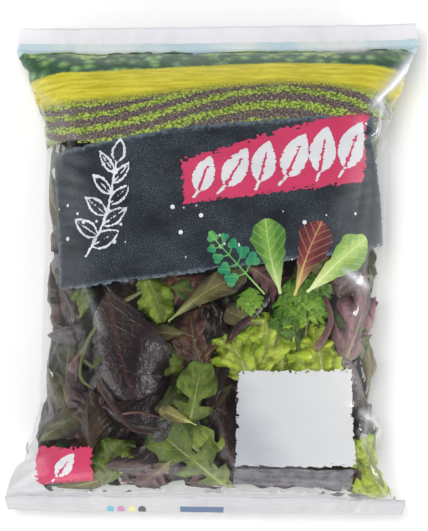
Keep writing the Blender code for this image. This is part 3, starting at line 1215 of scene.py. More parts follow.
def all_leaves():
    """Every leaf in the bag by kind: those listed for the front, and those strewn over the rest."""
    random = np.random.default_rng(3)
    leaves = list(FRONT_LEAVES)
    for sprig in SPRIGS:
        leaves += sprig_leaves(*sprig)
    # the deeper layers get darker tones: painted shade for the depths of the heap
    deep, middle = (9.0, 12.5), (5.5, 8.5)
    leaves += scattered_leaves(
        random, 46, (-125, 125), FILLED_ROWS, deep, 2.0, MIXED, (0.0, 0.3), clear=hidden_by_print
    )
    leaves += scattered_leaves(random, 30, (-112, 112), (-136, 0), middle, 1.3, DARK, (0.0, 0.5), (28, 46))
    leaves += scattered_leaves(random, 34, (145, 355), FILLED_ROWS, (7.0, 11.0), 2.4, MIXED, (0.0, 0.5))
    leaves += scattered_leaves(random, 40, (155, 345), FILLED_ROWS, (1.8, 4.5), 1.6, MIXED)
    leaves += scattered_leaves(random, 12, (96, 150), (-120, 135), (5.5, 9.0), 1.5, DARK, (0.1, 0.7))
    leaves += scattered_leaves(random, 12, (-150, -108), (-110, 135), (1.5, 4.5), 1.4, DARK, (0.1, 0.6))
    return leaves


# ---------------------------------------------------------------- the core under the leaves

CORE_DEPTH = 15.0  # in mm
CORE_GRID = (96, 72)  # points round it and along it
CORE_ROWS = (-126, 122)  # from end to end, in mm along the sheet


def core_piece(film, material):
    """A dark heap under the leaves, painted as the shade deep in the heap, so that nothing shows through the
    gaps between them.
    """
    columns, rows = CORE_GRID
    u = np.linspace(-TUBE_WIDTH, TUBE_WIDTH, columns, endpoint=False)[:, None] / MM * np.ones((1, rows))
    v = np.linspace(*CORE_ROWS, rows)[None] * np.ones((columns, 1))
    turn = 2 * np.pi * u * MM / (2 * TUBE_WIDTH)
    relief = 2.5 * noise(np.cos(turn) * 80, v + np.sin(turn) * 80, 11, 201)
    points = film.inside(u, v, (CORE_DEPTH + relief) * MM).reshape(-1, 3)
    faces = grid_faces(columns, rows, closed=True)
    faces.append([i * rows for i in range(columns)])
    faces.append([i * rows + rows - 1 for i in range(columns)][::-1])
    return mesh_piece("core", points, faces, material)


# ---------------------------------------------------------------- the film itself

BAND_SHEET = 0.0002  # how thick a band is
ON_BAND = -0.00016  # the marks lie on the band, not under the film
OVER_BAND = -0.00024  # and the sky runs over the band's edge


def film_pieces(film, clear, white, pale):
    """The film's front and back, and the two bands where they are welded into one flat sheet."""
    half, rows = film.half, film.rows
    bottom, top = band_rows(film.points)
    first, last = bottom.stop - 1, top.start
    front = np.arange(half + 1)
    back = np.arange(half, 2 * half + 1) % (2 * half)
    u = (front / half - 0.5) * TUBE_WIDTH / MM
    v = (np.arange(rows) / (rows - 1) - 0.5) * TUBE_LENGTH / MM
    for name, columns in (("film_front", front), ("film_back", back)):
        points = film.points[columns, first : last + 1]
        # gleam holds the painted highlight along the sharpest creases
        gleam = painted_crease_highlight((columns[:, None] / half - 0.5) * TUBE_WIDTH / MM, v[None, first : last + 1])
        faces = grid_faces(*points.shape[:2])
        mesh_piece(name, points.reshape(-1, 3), faces, clear, values={"gleam": gleam.ravel()})
    for name, part, material in (
        ("top_band", slice(last, rows), white),
        ("bottom_band", slice(0, first + 1), pale),
    ):
        points = film.points[: half + 1, part]
        uv = np.stack(np.meshgrid(u, v[part], indexing="ij"), -1).reshape(-1, 2)
        band = mesh_piece(name, points.reshape(-1, 3), grid_faces(*points.shape[:2]), material, uv=uv)
        thicken = band.modifiers.new("film thickness", "SOLIDIFY")
        thicken.thickness = BAND_SHEET
        thicken.offset = 0.0


FIN_WIDTH = 10.0  # the long seam's flap on the back, in mm
FIN_GRID = (7, 140)  # points across it and along it
FIN_LIES = 0.0003  # from the back
FLOOR_CLEARANCE = 0.0001


def fin_piece(film, material):
    """The flap of the long seam, which lies flat against the back."""
    across, rows = FIN_GRID
    start = TUBE_WIDTH / MM
    u = np.linspace(start - FIN_WIDTH, start, across)[:, None] * np.ones((1, rows))
    v = np.linspace(-0.5, 0.5, rows)[None] * np.ones((across, 1)) * TUBE_LENGTH / MM
    lift = FIN_LIES * np.minimum(1, (np.arange(across)[::-1, None] + 0.3) / 2)
    points = film.sample(film.points, u, v) - film.sample(film.inward, u, v) * lift[..., None]
    points[..., 2] = np.maximum(points[..., 2], FLOOR_CLEARANCE)
    uv = np.stack([u, v], -1).reshape(-1, 2)
    return mesh_piece("fin_seal", points.reshape(-1, 3), grid_faces(across, rows), material, uv=uv)


# ---------------------------------------------------------------- materials


def colour(red, green, blue):
    """A colour given as it looks, from 0 to 255, as Blender's linear values."""
    shares = [value / 255 for value in (red, green, blue)]
    linear = [x / 12.92 if x <= 0.04045 else ((x + 0.055) / 1.055) ** 2.4 for x in shares]
    return (*linear, 1.0)


class Nodes:
    """A material or a world, and short calls that add nodes to it.

    A value is a number, a colour or another node's output.
    """

    def __init__(self, owner):
        if isinstance(owner, str):
            owner = bpy.data.materials.new(owner)
            owner.use_nodes = True
        is_world = isinstance(owner, bpy.types.World)
        self.owner = owner
        self.tree = owner.node_tree
        self.tree.nodes.clear()
        self.end = self.tree.nodes.new("ShaderNodeOutputWorld" if is_world else "ShaderNodeOutputMaterial")

    def add(self, kind, inputs=(), **settings):
        node = self.tree.nodes.new(kind)
        for key, value in settings.items():
            setattr(node, key, value)
        for key, value in dict(inputs).items():
            socket = node.inputs[key]
            if isinstance(value, bpy.types.NodeSocket):
                self.tree.links.new(value, socket)
            else:
                socket.default_value = value
        return node

    def math(self, operation, a, b=0.0, clamp=False):
        return self.add("ShaderNodeMath", {0: a, 1: b}, operation=operation, use_clamp=clamp).outputs[0]

    def plus(self, a, b):
        return self.math("ADD", a, b)

    def minus(self, a, b):
        return self.math("SUBTRACT", a, b)

    def times(self, a, b):
        return self.math("MULTIPLY", a, b)

    def step(self, value, low, high):
        """0 below low, 1 above high, and smooth between. low may be above high."""
        inputs = {"Value": value, "From Min": low, "From Max": high}
        return self.add("ShaderNodeMapRange", inputs, interpolation_type="SMOOTHSTEP").outputs["Result"]

    def mix(self, share, a, b):
        node = self.add("ShaderNodeMix", {0: share, 6: a, 7: b}, data_type="RGBA")
        return node.outputs[2]

    def coordinates(self, name=None):
        if name is None:
            return self.add("ShaderNodeTexCoord").outputs["Object"]
        return self.add("ShaderNodeUVMap", uv_map=name).outputs["UV"]

    def split(self, vector):
        return self.add("ShaderNodeSeparateXYZ", {0: vector}).outputs

    def stretched(self, vector, scale):
        return self.add("ShaderNodeMapping", {"Vector": vector, "Scale": scale}).outputs[0]

    def noise(self, vector, scale, detail=2.0, rough=0.5):
        inputs = {"Vector": vector, "Scale": scale, "Detail": detail, "Roughness": rough}
        return self.add("ShaderNodeTexNoise", inputs).outputs["Fac"]

    def cells(self, vector, scale, feature="F1"):
        inputs = {"Vector": vector, "Scale": scale}
        return self.add("ShaderNodeTexVoronoi", inputs, feature=feature).outputs["Distance"]

    def value(self, name):
        return self.add("ShaderNodeAttribute", attribute_name=name).outputs["Fac"]

    def bump(self, height, distance, strength):
        inputs = {"Height": height, "Distance": distance, "Strength": strength}
        return self.add("ShaderNodeBump", inputs).outputs[0]

    def finish(self, shader):
        self.tree.links.new(shader, self.end.inputs["Surface"])
        return self.owner

    def principled(self, base, roughness, normal=None, **fixed):
        inputs = {"Base Color": base, "Roughness": roughness}
        inputs.update({key.replace("_", " "): value for key, value in fixed.items()})
        if normal is not None:
            inputs["Normal"] = normal
        return self.finish(self.add("ShaderNodeBsdfPrincipled", inputs).outputs[0])


def film_material(name, haze, clouds):
    """Clear film: see-through, with more gleam at a slant, milky in clouds, and white with painted highlights
    along creases.
    """
    n = Nodes(name)
    here = n.coordinates()
    dust = n.times(n.step(n.noise(here, 34.0, 3.0), 0.35, 0.75), clouds)
    # the milky clouds and haze, and the creases' painted highlight, all show as white
    milk_and_painted_highlight = n.math("ADD", n.plus(dust, haze), n.value("gleam"), clamp=True)
    ripple = n.bump(n.noise(here, 160.0, 3.0, 0.6), 0.0004, 0.35)
    clear = n.add("ShaderNodeBsdfTransparent", {"Color": (1, 1, 1, 1)}).outputs[0]
    white = n.add("ShaderNodeBsdfDiffuse", {"Color": colour(236, 238, 244), "Normal": ripple}).outputs[0]
    body = n.add("ShaderNodeMixShader", {0: milk_and_painted_highlight, 1: clear, 2: white}).outputs[0]
    inputs = {"Color": (1, 1, 1, 1), "Roughness": 0.12, "Normal": ripple}
    gloss = n.add("ShaderNodeBsdfGlossy", inputs).outputs[0]
    slant = n.add("ShaderNodeLayerWeight", {"Blend": 0.5, "Normal": ripple}).outputs["Facing"]
    share = n.plus(n.times(n.math("POWER", slant, 5.0), 0.9), 0.045)
    return n.finish(n.add("ShaderNodeMixShader", {0: share, 1: body, 2: gloss}).outputs[0])


def band_material(name, base, shade):
    """The welded bands: whitish, with the faint ribs that the jaws press across them."""
    n = Nodes(name)
    u, v, _ = n.split(n.coordinates("sheet"))
    cloud = n.noise(n.coordinates(), 22.0, 3.0)
    tint = n.mix(n.step(cloud, 0.35, 0.7), base, shade)
    ribs = n.math("SINE", n.times(v, 2 * math.pi / 1.6))
    normal = n.bump(ribs, 0.00006, 0.5)
    return n.principled(tint, 0.34, normal)


# Each ink's colour, its clouds and its dry streaks
INKS = {
    "white ink": ((218, 218, 221), (207, 208, 213), (194, 197, 203)),
    "pink ink": ((202, 58, 100), (190, 50, 90), (214, 100, 134)),
    "chalk": ((226, 228, 234), (196, 200, 208), (160, 164, 172)),
    "pale ink": ((205, 204, 206), (199, 198, 201), (210, 210, 212)),
    "bar ink": ((112, 130, 158), (96, 114, 146), (128, 146, 172)),
    "cyan ink": ((126, 188, 212),) * 3,
    "magenta ink": ((200, 152, 186),) * 3,
    "yellow ink": ((232, 222, 168),) * 3,
    "black ink": ((104, 104, 110),) * 3,
}
INK_ROUGHNESS = 0.45
DRY_SHARE = 0.6  # how strongly the dry streaks show


def paint_material(name):
    """A flat field of ink with the cloudiness and short streaks of dry paint."""
    base, shade, dry = (colour(*values) for values in INKS[name])
    n = Nodes(name)
    sheet = n.coordinates("sheet")
    cloud = n.noise(n.stretched(sheet, (0.03, 0.09, 1.0)), 1.0, 3.0)
    tint = n.mix(n.step(cloud, 0.3, 0.75), base, shade)
    grain = n.noise(n.stretched(sheet, (0.25, 1.4, 1.0)), 1.0, 4.0, 0.7)
    tint = n.mix(n.times(n.step(grain, 0.62, 0.78), DRY_SHARE), tint, dry)
    return n.principled(tint, INK_ROUGHNESS)


def slate_material():
    """Dark slate, dusted with chalk, worn pale along its edge."""
    n = Nodes("slate")
    sheet = n.coordinates("sheet")
    cloud = n.noise(n.stretched(sheet, (0.03, 0.05, 1.0)), 1.0, 4.0, 0.6)
    tint = n.mix(n.step(cloud, 0.3, 0.7), colour(26, 32, 39), colour(44, 51, 60))
    specks = n.noise(sheet, 1.4, 2.0, 0.6)
    dusty = n.times(n.step(specks, 0.52, 0.70), n.step(cloud, 0.25, 0.7))
    tint = n.mix(n.times(dusty, 0.6), tint, colour(140, 150, 160))
    worn = n.plus(n.value("edge"), n.times(n.noise(sheet, 0.35, 3.0), 6.0))
    tint = n.mix(n.times(n.step(worn, 6.5, 2.0), 0.6), tint, colour(126, 142, 156))
    return n.principled(tint, 0.5, Specular_IOR_Level=0.3)


def countryside_material():
    """Rolling fields: a pale sky, trees, a yellow meadow and curved rows of a green crop in brown soil."""
    n = Nodes("countryside")
    sheet = n.coordinates("sheet")
    u, v, _ = n.split(sheet)
    roll = n.math("SINE", n.times(u, 2 * math.pi / 125))
    roll_two = n.math("SINE", n.plus(n.times(u, 2 * math.pi / 250), 0.6))
    rough = n.noise(sheet, 0.16, 4.0, 0.6)
    fine = n.noise(sheet, 0.8, 4.0, 0.75)
    clumps = n.cells(n.stretched(sheet, (0.55, 0.8, 1.0)), 1.0)
    # crop rows, nearer together further up the picture
    rise = n.plus(v, n.times(roll_two, -11.0))
    rise = n.plus(rise, n.times(rough, 4.0))
    far = n.minus(152.0, rise)
    rows = n.times(n.math("LOGARITHM", far, 2.718), 40.0)
    wave = n.plus(n.math("SINE", rows), n.times(n.minus(clumps, 0.4), -1.6))
    wave = n.plus(wave, n.times(n.minus(fine, 0.5), 3.0))
    soil = n.mix(n.step(fine, 0.40, 0.56), colour(58, 48, 50), colour(112, 98, 94))
    soil = n.mix(n.step(fine, 0.56, 0.66), soil, colour(196, 186, 170))
    crop = n.mix(n.step(clumps, 0.75, 0.15), colour(92, 112, 40), colour(172, 196, 84))
    crop = n.mix(n.times(n.step(fine, 0.5, 0.7), 0.6), crop, colour(198, 208, 116))
    land = n.mix(n.step(wave, -0.35, 0.35), soil, crop)
    # grass between the rows and the meadow, and a grassy slope at one side
    slope = n.minus(v, n.plus(106.0, n.times(n.plus(roll_two, rough), 5.0)))
    slope = n.plus(slope, n.times(fine, 4.0))
    grass = n.mix(n.step(fine, 0.4, 0.62), colour(128, 134, 44), colour(188, 184, 68))
    land = n.mix(n.step(slope, -1.5, 2.0), land, grass)
    # the meadow
    streaks = n.noise(n.stretched(sheet, (0.05, 0.5, 1.0)), 1.0, 4.0, 0.7)
    meadow = n.mix(n.step(streaks, 0.35, 0.65), colour(186, 174, 32), colour(218, 208, 68))
    edge = n.minus(v, n.plus(110.5, n.times(roll_two, 5.0)))
    edge = n.plus(edge, n.times(fine, 3.0))
    land = n.mix(n.step(edge, -1.5, 2.0), land, meadow)
    # pale hills, and the sky over them
    low = n.plus(124.5, n.times(roll_two, 2.5))
    ragged = n.times(n.minus(0.5, fine), 6.0)
    above_meadow = n.step(n.plus(n.minus(v, low), ragged), -0.6, 0.6)
    hills = n.mix(n.step(rough, 0.4, 0.6), colour(112, 156, 96), colour(176, 190, 104))
    land = n.mix(above_meadow, land, hills)
    sky = n.mix(n.step(n.noise(sheet, 0.02, 3.0), 0.4, 0.6), colour(188, 208, 216), colour(214, 220, 217))
    edge = n.minus(v, n.plus(140.5, n.times(roll, 2.5)))
    land = n.mix(n.step(edge, -0.8, 0.8), land, sky)
    # trees with round crowns, lit from above, and dark gaps between them
    crowns = n.cells(n.stretched(sheet, (0.13, 0.17, 1.0)), 1.0)
    leafy = n.plus(n.times(crowns, 0.9), n.times(fine, 0.9))
    hedge = n.mix(n.step(leafy, 1.05, 0.5), colour(38, 78, 50), colour(132, 174, 104))
    hedge = n.mix(n.times(n.step(rough, 0.52, 0.62), 0.7), hedge, colour(44, 84, 62))
    woods = n.noise(n.stretched(sheet, (0.035, 0.004, 1.0)), 1.0, 2.0)
    top = n.plus(n.times(n.minus(woods, 0.5), -44.0), n.times(crowns, 7.0))
    top = n.plus(n.minus(v, 143.0), n.minus(top, ragged))
    land = n.mix(n.times(above_meadow, n.step(top, 0.5, -0.5)), land, hedge)
    return n.principled(land, INK_ROUGHNESS)


def label_material():
    """The label's white ink, with painted shade that greys it towards its lower left corner."""
    n = Nodes("label ink")
    sheet = n.coordinates("sheet")
    u, v, _ = n.split(sheet)
    cloud = n.noise(n.stretched(sheet, (0.03, 0.09, 1.0)), 1.0, 3.0)
    # painted shade: lighter towards the upper right, greyer towards the lower left
    painted_shade_ramp = n.plus(n.times(u, 0.025), n.times(v, 0.0167))
    painted_shade_ramp = n.plus(n.plus(painted_shade_ramp, 1.1), n.times(cloud, 0.5))
    tint = n.mix(n.step(painted_shade_ramp, 0.15, 1.0), colour(168, 171, 179), colour(199, 201, 203))
    tint = n.mix(n.step(painted_shade_ramp, 0.9, 2.2), tint, colour(210, 211, 212))
    return n.principled(tint, INK_ROUGHNESS)


def note_material():
    """A thin veil of grey ink under the label."""
    n = Nodes("veil of ink")
    cloud = n.noise(n.coordinates("sheet"), 0.12, 3.0)
    tint = n.mix(n.step(cloud, 0.35, 0.7), colour(118, 116, 122), colour(150, 150, 156))
    clear = n.add("ShaderNodeBsdfTransparent", {"Color": (1, 1, 1, 1)}).outputs[0]
    ink = n.add("ShaderNodeBsdfDiffuse", {"Color": tint}).outputs[0]
    return n.finish(n.add("ShaderNodeMixShader", {0: 0.62, 1: clear, 2: ink}).outputs[0])


# The colours of each pictured leaf: its middle, its margin, and its veins and base
PICTURED_COLOURS = {
    "pale": ((172, 198, 104), (120, 160, 66), (218, 228, 168)),
    "red": ((128, 54, 58), (92, 34, 44), (206, 190, 120)),
    "green": ((118, 160, 66), (76, 122, 48), (196, 212, 146)),
    "sprig": ((84, 162, 84), (26, 130, 92), (150, 192, 104)),
}


def pictured_material(kind, base_place, tip_place):
    """A pictured leaf: paler along its bent midrib and towards its base, with a few side veins."""
    middle, margin, vein = (colour(*values) for values in PICTURED_COLOURS[kind])
    n = Nodes(f"pictured {kind} leaf")
    sheet = n.coordinates("sheet")
    along = np.subtract(tip_place, base_place)
    length = math.hypot(*along)
    angle = math.atan2(along[1], along[0])
    inputs = {"Vector": sheet, "Location": (-base_place[0], -base_place[1], 0)}
    inputs = {"Vector": n.add("ShaderNodeMapping", inputs).outputs[0], "Angle": -angle}
    moved = n.add("ShaderNodeVectorRotate", inputs, rotation_type="Z_AXIS").outputs[0]
    x, y, _ = n.split(moved)
    cloud = n.noise(sheet, 0.3, 4.0, 0.6)
    bend = n.times(n.math("SINE", n.times(x, math.pi / length)), 1.6)
    y = n.plus(n.minus(y, bend), n.times(cloud, 0.8))
    reach = n.math("ABSOLUTE", y)
    tint = n.mix(n.step(n.plus(n.math("DIVIDE", reach, 12.0), cloud), 0.55, 1.1), middle, margin)
    phase = n.math("FRACT", n.math("DIVIDE", n.minus(x, reach), 6.0))
    off = n.math("ABSOLUTE", n.minus(phase, 0.5))
    tint = n.mix(n.times(n.step(off, 0.12, 0.03), 0.25), tint, vein)
    base_share = n.step(n.minus(x, n.times(cloud, 8.0)), length * 0.42, 0.0)
    tint = n.mix(n.times(base_share, 0.6), tint, vein)
    stalk = n.plus(0.15, n.times(n.step(x, length * 0.6, -4.0), 1.1))
    tint = n.mix(n.times(n.step(n.minus(reach, stalk), 0.5, -0.3), 0.8), tint, vein)
    return n.principled(tint, INK_ROUGHNESS)


LEAF_INDEX = 1.55  # the refractive index of leaves that shine little


def leaf_material(name, palette, side_veins, vein_show, roughness, shine=LEAF_INDEX):
    """A leaf: its blade clouded with a second colour, its margin, ribs and base of others, and painted shade
    that follows its relief.
    """
    blade, mottle, margin, rib, base_tint = (colour(*values) for values in palette)
    n = Nodes(name)
    s, t, _ = n.split(n.coordinates("blade"))
    here = n.coordinates()
    tone = n.value("tone")
    relief = n.value("relief")
    reach = n.math("ABSOLUTE", t)
    cloud = n.noise(here, 75.0, 4.0, 0.6)
    grain = n.noise(here, 480.0, 3.0, 0.6)
    tint = n.mix(n.step(cloud, 0.38, 0.66), blade, mottle)
    outer = n.plus(n.times(reach, 0.6), n.times(s, 0.5))
    outer = n.plus(outer, n.times(cloud, 0.4))
    tint = n.mix(n.step(outer, 0.65, 1.25), tint, margin)
    tint = n.mix(n.step(n.plus(s, n.times(reach, 0.25)), 0.5, 0.1), tint, base_tint)
    wobble = n.times(n.noise(here, 130.0, 2.0), 0.5)
    phase = n.minus(n.times(s, side_veins), n.times(reach, 1.5))
    phase = n.math("FRACT", n.plus(phase, n.plus(wobble, n.times(n.math("SIGN", t), 0.13))))
    off = n.math("ABSOLUTE", n.minus(phase, 0.5))
    veins = n.times(n.step(off, 0.09, 0.02), n.step(reach, 1.05, 0.45))
    width = n.times(n.minus(1.12, s), 0.06)
    rib_share = n.step(n.math("DIVIDE", reach, width), 1.3, 0.5)
    tint = n.mix(n.times(veins, vein_show * 0.6), tint, rib)
    tint = n.mix(n.times(rib_share, vein_show + 0.3), tint, rib)
    # painted shade: lighter on its swellings than in its hollows
    value_with_painted_shade = n.plus(0.06, n.times(tone, 0.80))
    value_with_painted_shade = n.times(value_with_painted_shade, n.plus(0.46, n.times(n.step(relief, -0.7, 0.9), 0.98)))
    value_with_painted_shade = n.times(value_with_painted_shade, n.plus(0.86, n.times(n.step(grain, 0.7, 0.35), 0.2)))
    net = n.cells(here, 320.0, "DISTANCE_TO_EDGE")
    value_with_painted_shade = n.times(value_with_painted_shade, n.plus(0.88, n.times(n.step(net, 0.0, 0.16), 0.14)))
    hue = n.plus(0.512, n.times(tone, -0.024))
    tint = n.add("ShaderNodeHueSaturation", {"Color": tint, "Value": value_with_painted_shade, "Hue": hue}).outputs[0]
    pucker = n.noise(here, 400.0, 3.0, 0.6)
    height = n.plus(n.times(veins, -1.4 * vein_show), n.times(pucker, 1.4))
    height = n.plus(height, cloud)
    normal = n.bump(height, 0.0006, 0.85)
    rough = n.plus(roughness, n.times(cloud, 0.12))
    return n.principled(tint, rough, normal, IOR=shine)


def core_material():
    """The shaded depth of the heap: leaf colours, nearly black."""
    n = Nodes("core")
    here = n.coordinates()
    patches = n.noise(here, 45.0, 3.0)
    tint = n.mix(n.step(patches, 0.42, 0.58), colour(30, 36, 20), colour(34, 18, 24))
    # darker patches of painted shade
    tint = n.mix(n.step(n.noise(here, 190.0, 3.0), 0.4, 0.7), tint, colour(12, 14, 10))
    return n.principled(tint, 0.7)


# ---------------------------------------------------------------- the stage

CAMERA_DISTANCE = 1.6  # above the bag's sides
SENSOR_WIDTH = 36.0
VIEW_WIDTH = 0.2716  # what the camera sees across, at the height of the bag's sides
VIEW_CENTRE = (0.0016, 0.0025)
SIDE_LEVEL = 0.025  # how high the bag's sides are
FLOOR_SIDE = 3  # from its middle to its edge
LIT_PLACE = (0, 0, 0.03)  # where the lamps point
WALL_LIGHT = 0.7
CEILING_LIGHT = 0.06
# Bright parts of the room: the direction to each, how bright it is, and the cosines where it starts and ends
BRIGHT_WALLS = (
    ((-0.84, -0.40, 0.38), 0.9, 0.80, 0.98),
    ((0.95, -0.15, 0.28), 1.2, 0.80, 0.98),
)


def add_light(name, place, size, power, glossy=True):
    """A soft rectangular lamp that faces the bag. If not glossy, nothing mirrors it."""
    light = bpy.data.lights.new(name, "AREA")
    light.shape = "RECTANGLE"
    light.size, light.size_y = size
    light.energy = power
    lamp = bpy.data.objects.new(name, light)
    lamp.location = place
    lamp.rotation_mode = "QUATERNION"
    lamp.rotation_quaternion = (Vector(LIT_PLACE) - Vector(place)).to_track_quat("-Z", "Y")
    lamp.visible_glossy = glossy
    bpy.context.scene.collection.objects.link(lamp)


def floor_material():
    n = Nodes("floor")
    cloud = n.noise(n.coordinates(), 3.0, 2.0)
    tint = n.mix(cloud, colour(252, 252, 252), colour(255, 255, 255))
    return n.principled(tint, 0.8)


def add_room():
    """A room with white walls, a soft bright part at each side of the bag, and a dim ceiling."""
    world = bpy.data.worlds.new("white room")
    bpy.context.scene.world = world
    world.use_nodes = True
    n = Nodes(world)
    towards = n.add("ShaderNodeTexCoord").outputs["Generated"]
    height = n.split(towards)[2]
    wall = n.times(n.step(height, 0.7, 0.1), WALL_LIGHT - CEILING_LIGHT)
    level = n.plus(wall, CEILING_LIGHT)
    cloud = n.plus(0.35, n.times(n.noise(towards, 3.2, 3.0, 0.6), 1.3))
    for direction, strength, start, full in BRIGHT_WALLS:
        inputs = {0: towards, 1: Vector(direction).normalized()}
        near = n.add("ShaderNodeVectorMath", inputs, operation="DOT_PRODUCT")
        share = n.times(n.step(near.outputs["Value"], start, full), strength)
        level = n.plus(level, n.times(share, cloud))
    n.finish(n.add("ShaderNodeBackground", {"Strength": level}).outputs[0])


def add_stage():
    """A pale floor, a white room and soft lights: two overhead, two in front and one at each side."""
    mesh = bpy.data.meshes.new("floor")
    corners = [(-FLOOR_SIDE, -FLOOR_SIDE, 0), (FLOOR_SIDE, -FLOOR_SIDE, 0)]
    corners += [(FLOOR_SIDE, FLOOR_SIDE, 0), (-FLOOR_SIDE, FLOOR_SIDE, 0)]
    mesh.from_pydata(corners, [], [(0, 1, 2, 3)])
    mesh.materials.append(floor_material())
    floor = bpy.data.objects.new("floor", mesh)
    bpy.context.scene.collection.objects.link(floor)
    add_room()
    add_light("right strip", (0.95, -0.40, 0.50), (0.34, 0.12), 2.4)
    add_light("left panel", (-0.88, -0.62, 0.50), (0.80, 0.40), 1.5)
    add_light("key", (-0.24, 0.28, 1.50), (0.70, 0.70), 14.5, glossy=False)
    add_light("overhead", (0.0, 0.0, 1.7), (3.0, 3.0), 12.0, glossy=False)
    add_light("front", (0.1, -1.25, 0.50), (1.4, 0.6), 4.0, glossy=False)
    add_light("front gleam", (0.0, -1.15, 0.36), (0.9, 0.22), 0.8)
    bpy.context.scene.view_settings.view_transform = "Standard"


def add_camera():
    """A camera that looks straight down on the bag."""
    data = bpy.data.cameras.new("camera")
    data.sensor_fit = "HORIZONTAL"
    data.sensor_width = SENSOR_WIDTH
    data.lens = SENSOR_WIDTH * CAMERA_DISTANCE / VIEW_WIDTH
    camera = bpy.data.objects.new("camera", data)
    camera.location = (*VIEW_CENTRE, SIDE_LEVEL + CAMERA_DISTANCE)
    bpy.context.scene.collection.objects.link(camera)
    bpy.context.scene.camera = camera


# ---------------------------------------------------------------- putting it together


ALL_ROUND = (-125, 375)  # from the left side over the front and under the back, in mm
PICTURE_MARGIN = (16, 14)  # how far a pictured leaf reaches past its base and tip


def print_pieces(film):
    """Every field of ink, each cut where a later one covers it."""
    slate = slate_material()
    white = paint_material("white ink")
    pink = paint_material("pink ink")
    chalk = paint_material("chalk")
    pictures = [pictured_leaf(i) for i in range(len(PICTURED_LEAVES))]
    countryside = countryside_material()
    fields = but_not(fields_shape, slate_shape)
    printed(film, "print_fields", (*ALL_ROUND, 72, 141.5), 2, fields, countryside)
    printed(film, "print_sky", (*ALL_ROUND, 139, 154), 2, sky_shape, countryside, OVER_BAND)
    slate_only = but_not(slate_shape, stroke_shape, sprig_shape, drops_shape, *pictures)
    printed(film, "print_slate", (-125, 130, -20, 112), 3, slate_only, slate, whole=slate_shape)
    printed(film, "print_sprig", (-110, -55, 0, 90), 4, sprig_shape, chalk)
    drops = but_not(drops_shape, sprig_shape, stroke_shape, *pictures)
    printed(film, "print_drops", (-112, 116, 2, 44), 4, drops, chalk)
    printed(film, "print_stroke", (-30, 106, 30, 108), 3, but_not(stroke_shape, stroke_leaves), pink)
    printed(film, "print_stroke_leaves", (-30, 106, 36, 104), 4, stroke_leaves, white)
    ground_only = but_not(ground_shape, tag_shape, note_shape)
    printed(film, "print_ground", (*ALL_ROUND, -153, -100), 2, ground_only, paint_material("pale ink"))
    printed(film, "print_label", (12, 96, -128, -58), 3, label_shape, label_material())
    printed(film, "print_tag", (-110, -62, -144, -106), 4, but_not(tag_shape, tag_leaf), pink)
    printed(film, "print_tag_leaf", (-100, -74, -142, -110), 4, tag_leaf, white)
    note = but_not(note_shape, label_shape)
    printed(film, "print_note_band", (12, 96, -137, -121), 3, note, note_material())
    panel = partial(box_shape, **BACK_PANEL)
    printed(film, "print_back_panel", (146, 218, -58, 78), 1, panel, white)
    for i, (kind, base, tip, _, _) in enumerate(PICTURED_LEAVES):
        material = pictured_material(kind, base, tip)
        shape = but_not(pictures[i], *pictures[:i], stroke_shape)
        region = []
        for axis, margin in enumerate(PICTURE_MARGIN):
            region += [min(base[axis], tip[axis]) - margin, max(base[axis], tip[axis]) + margin]
        printed(film, f"print_leaf_{kind}", region, 3, shape, material)


MARK_ROWS = (-161.5, -156)


def press_marks(film):
    """The printer's colour spots and bar that the bottom edge cuts through."""
    for i, ink in enumerate(("cyan", "magenta", "yellow", "black")):
        middle = -59 + 6.6 * i
        spot = partial(spot_shape, centre=(middle, -160.4), radius=2.4)
        region = (middle - 4, middle + 4, *MARK_ROWS)
        printed(film, f"mark_{ink}", region, 6, spot, paint_material(f"{ink} ink"), ON_BAND)
    bar = partial(box_shape, centre=(-2, -159.8), size=(27, 3.4))
    printed(film, "mark_bar", (-18, 14, *MARK_ROWS), 4, bar, paint_material("bar ink"), ON_BAND)


# Each kind's colours: its blade, its mottling, its margin, its ribs and its base
LEAF_COLOURS = {
    "red": ((50, 28, 34), (64, 40, 46), (40, 22, 31), (108, 60, 62), (72, 52, 42)),
    "curly": ((106, 74, 50), (88, 48, 46), (70, 40, 42), (160, 142, 96), (122, 118, 64)),
    "frilly": ((152, 180, 44), (180, 200, 74), (120, 156, 30), (212, 222, 150), (206, 214, 138)),
    "rocket": ((112, 136, 52), (136, 156, 70), (96, 124, 40), (180, 196, 120), (160, 180, 88)),
    "oak": ((138, 92, 98), (160, 118, 120), (108, 66, 80), (188, 166, 130), (164, 162, 104)),
    "spoon": ((122, 120, 66), (146, 132, 80), (98, 88, 56), (196, 204, 146), (186, 200, 126)),
    "chervil": ((98, 152, 34), (130, 180, 58), (80, 134, 28), (156, 190, 92), (140, 184, 70)),
}
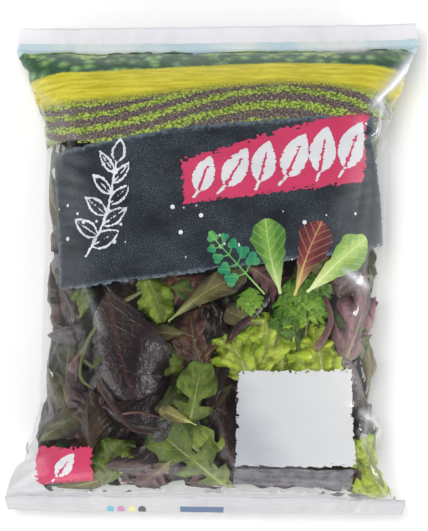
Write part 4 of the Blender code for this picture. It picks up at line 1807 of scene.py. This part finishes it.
# Each kind's side veins, how plainly they show, how rough its shine is, its refractive index and its slot
LEAF_LOOKS = {
    "red": (6, 0.2, 0.24, 1.95, "red_leaves"),
    "curly": (5, 0.3, 0.28, 1.7, "red_leaves"),
    "frilly": (5, 0.4, 0.25, 1.65, "green_leaves"),
    "rocket": (6, 0.45, 0.32, LEAF_INDEX, "green_leaves"),
    "oak": (6, 0.45, 0.30, LEAF_INDEX, "red_leaves"),
    "spoon": (7, 0.45, 0.32, LEAF_INDEX, "green_leaves"),
    "chervil": (4, 0.25, 0.34, LEAF_INDEX, "green_leaves"),
}
GREEN_STALK_COLOURS = ((140, 156, 92), (158, 172, 112), (128, 146, 80), (186, 196, 146), (168, 180, 120))
RED_STALK_COLOURS = ((120, 80, 76), (146, 110, 104), (104, 62, 62), (200, 176, 166), (176, 150, 120))


def leaf_pieces(film):
    """The leaves of each kind as one mesh, and the stalks."""
    leaves = all_leaves()
    for number, (kind, (*look, slot)) in enumerate(LEAF_LOOKS.items()):
        material = leaf_material(f"{kind} leaf", LEAF_COLOURS[kind], *look)
        of_kind = [leaf for leaf in leaves if leaf.kind == kind]
        leaf_piece(film, f"{kind}_leaves", of_kind, material, 1000 * (number + 1))
    green = leaf_material("green stalk", GREEN_STALK_COLOURS, 2.0, 0.2, 0.4)
    red = leaf_material("red stalk", RED_STALK_COLOURS, 2.0, 0.5, 0.4)
    stalks = list(GREEN_STALKS)
    for start, end, depth, tone in SPRIGS:
        stalks.append(([start, np.add(start, end) / 2, end], 1.1, 0.6, depth, tone))
    stalk_piece(film, "green_stalks", stalks, green)
    stalk_piece(film, "red_stalks", list(RED_STALKS), red)


add_camera()
points = filled_tube(FINER_STAGES)
fit_to_cad(points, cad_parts["salad_bag"])
crease_film(points)
film = Film(points)
film_pieces(
    film,
    film_material("clear film", 0.001, 0.008),
    band_material("white band", colour(232, 231, 236), colour(226, 225, 231)),
    band_material("pale band", colour(205, 204, 206), colour(199, 198, 201)),
)
press_marks(film)
fin_piece(film, film_material("fin film", 0.22, 0.08))
print_pieces(film)
leaf_pieces(film)
core_piece(film, core_material())
add_stage()
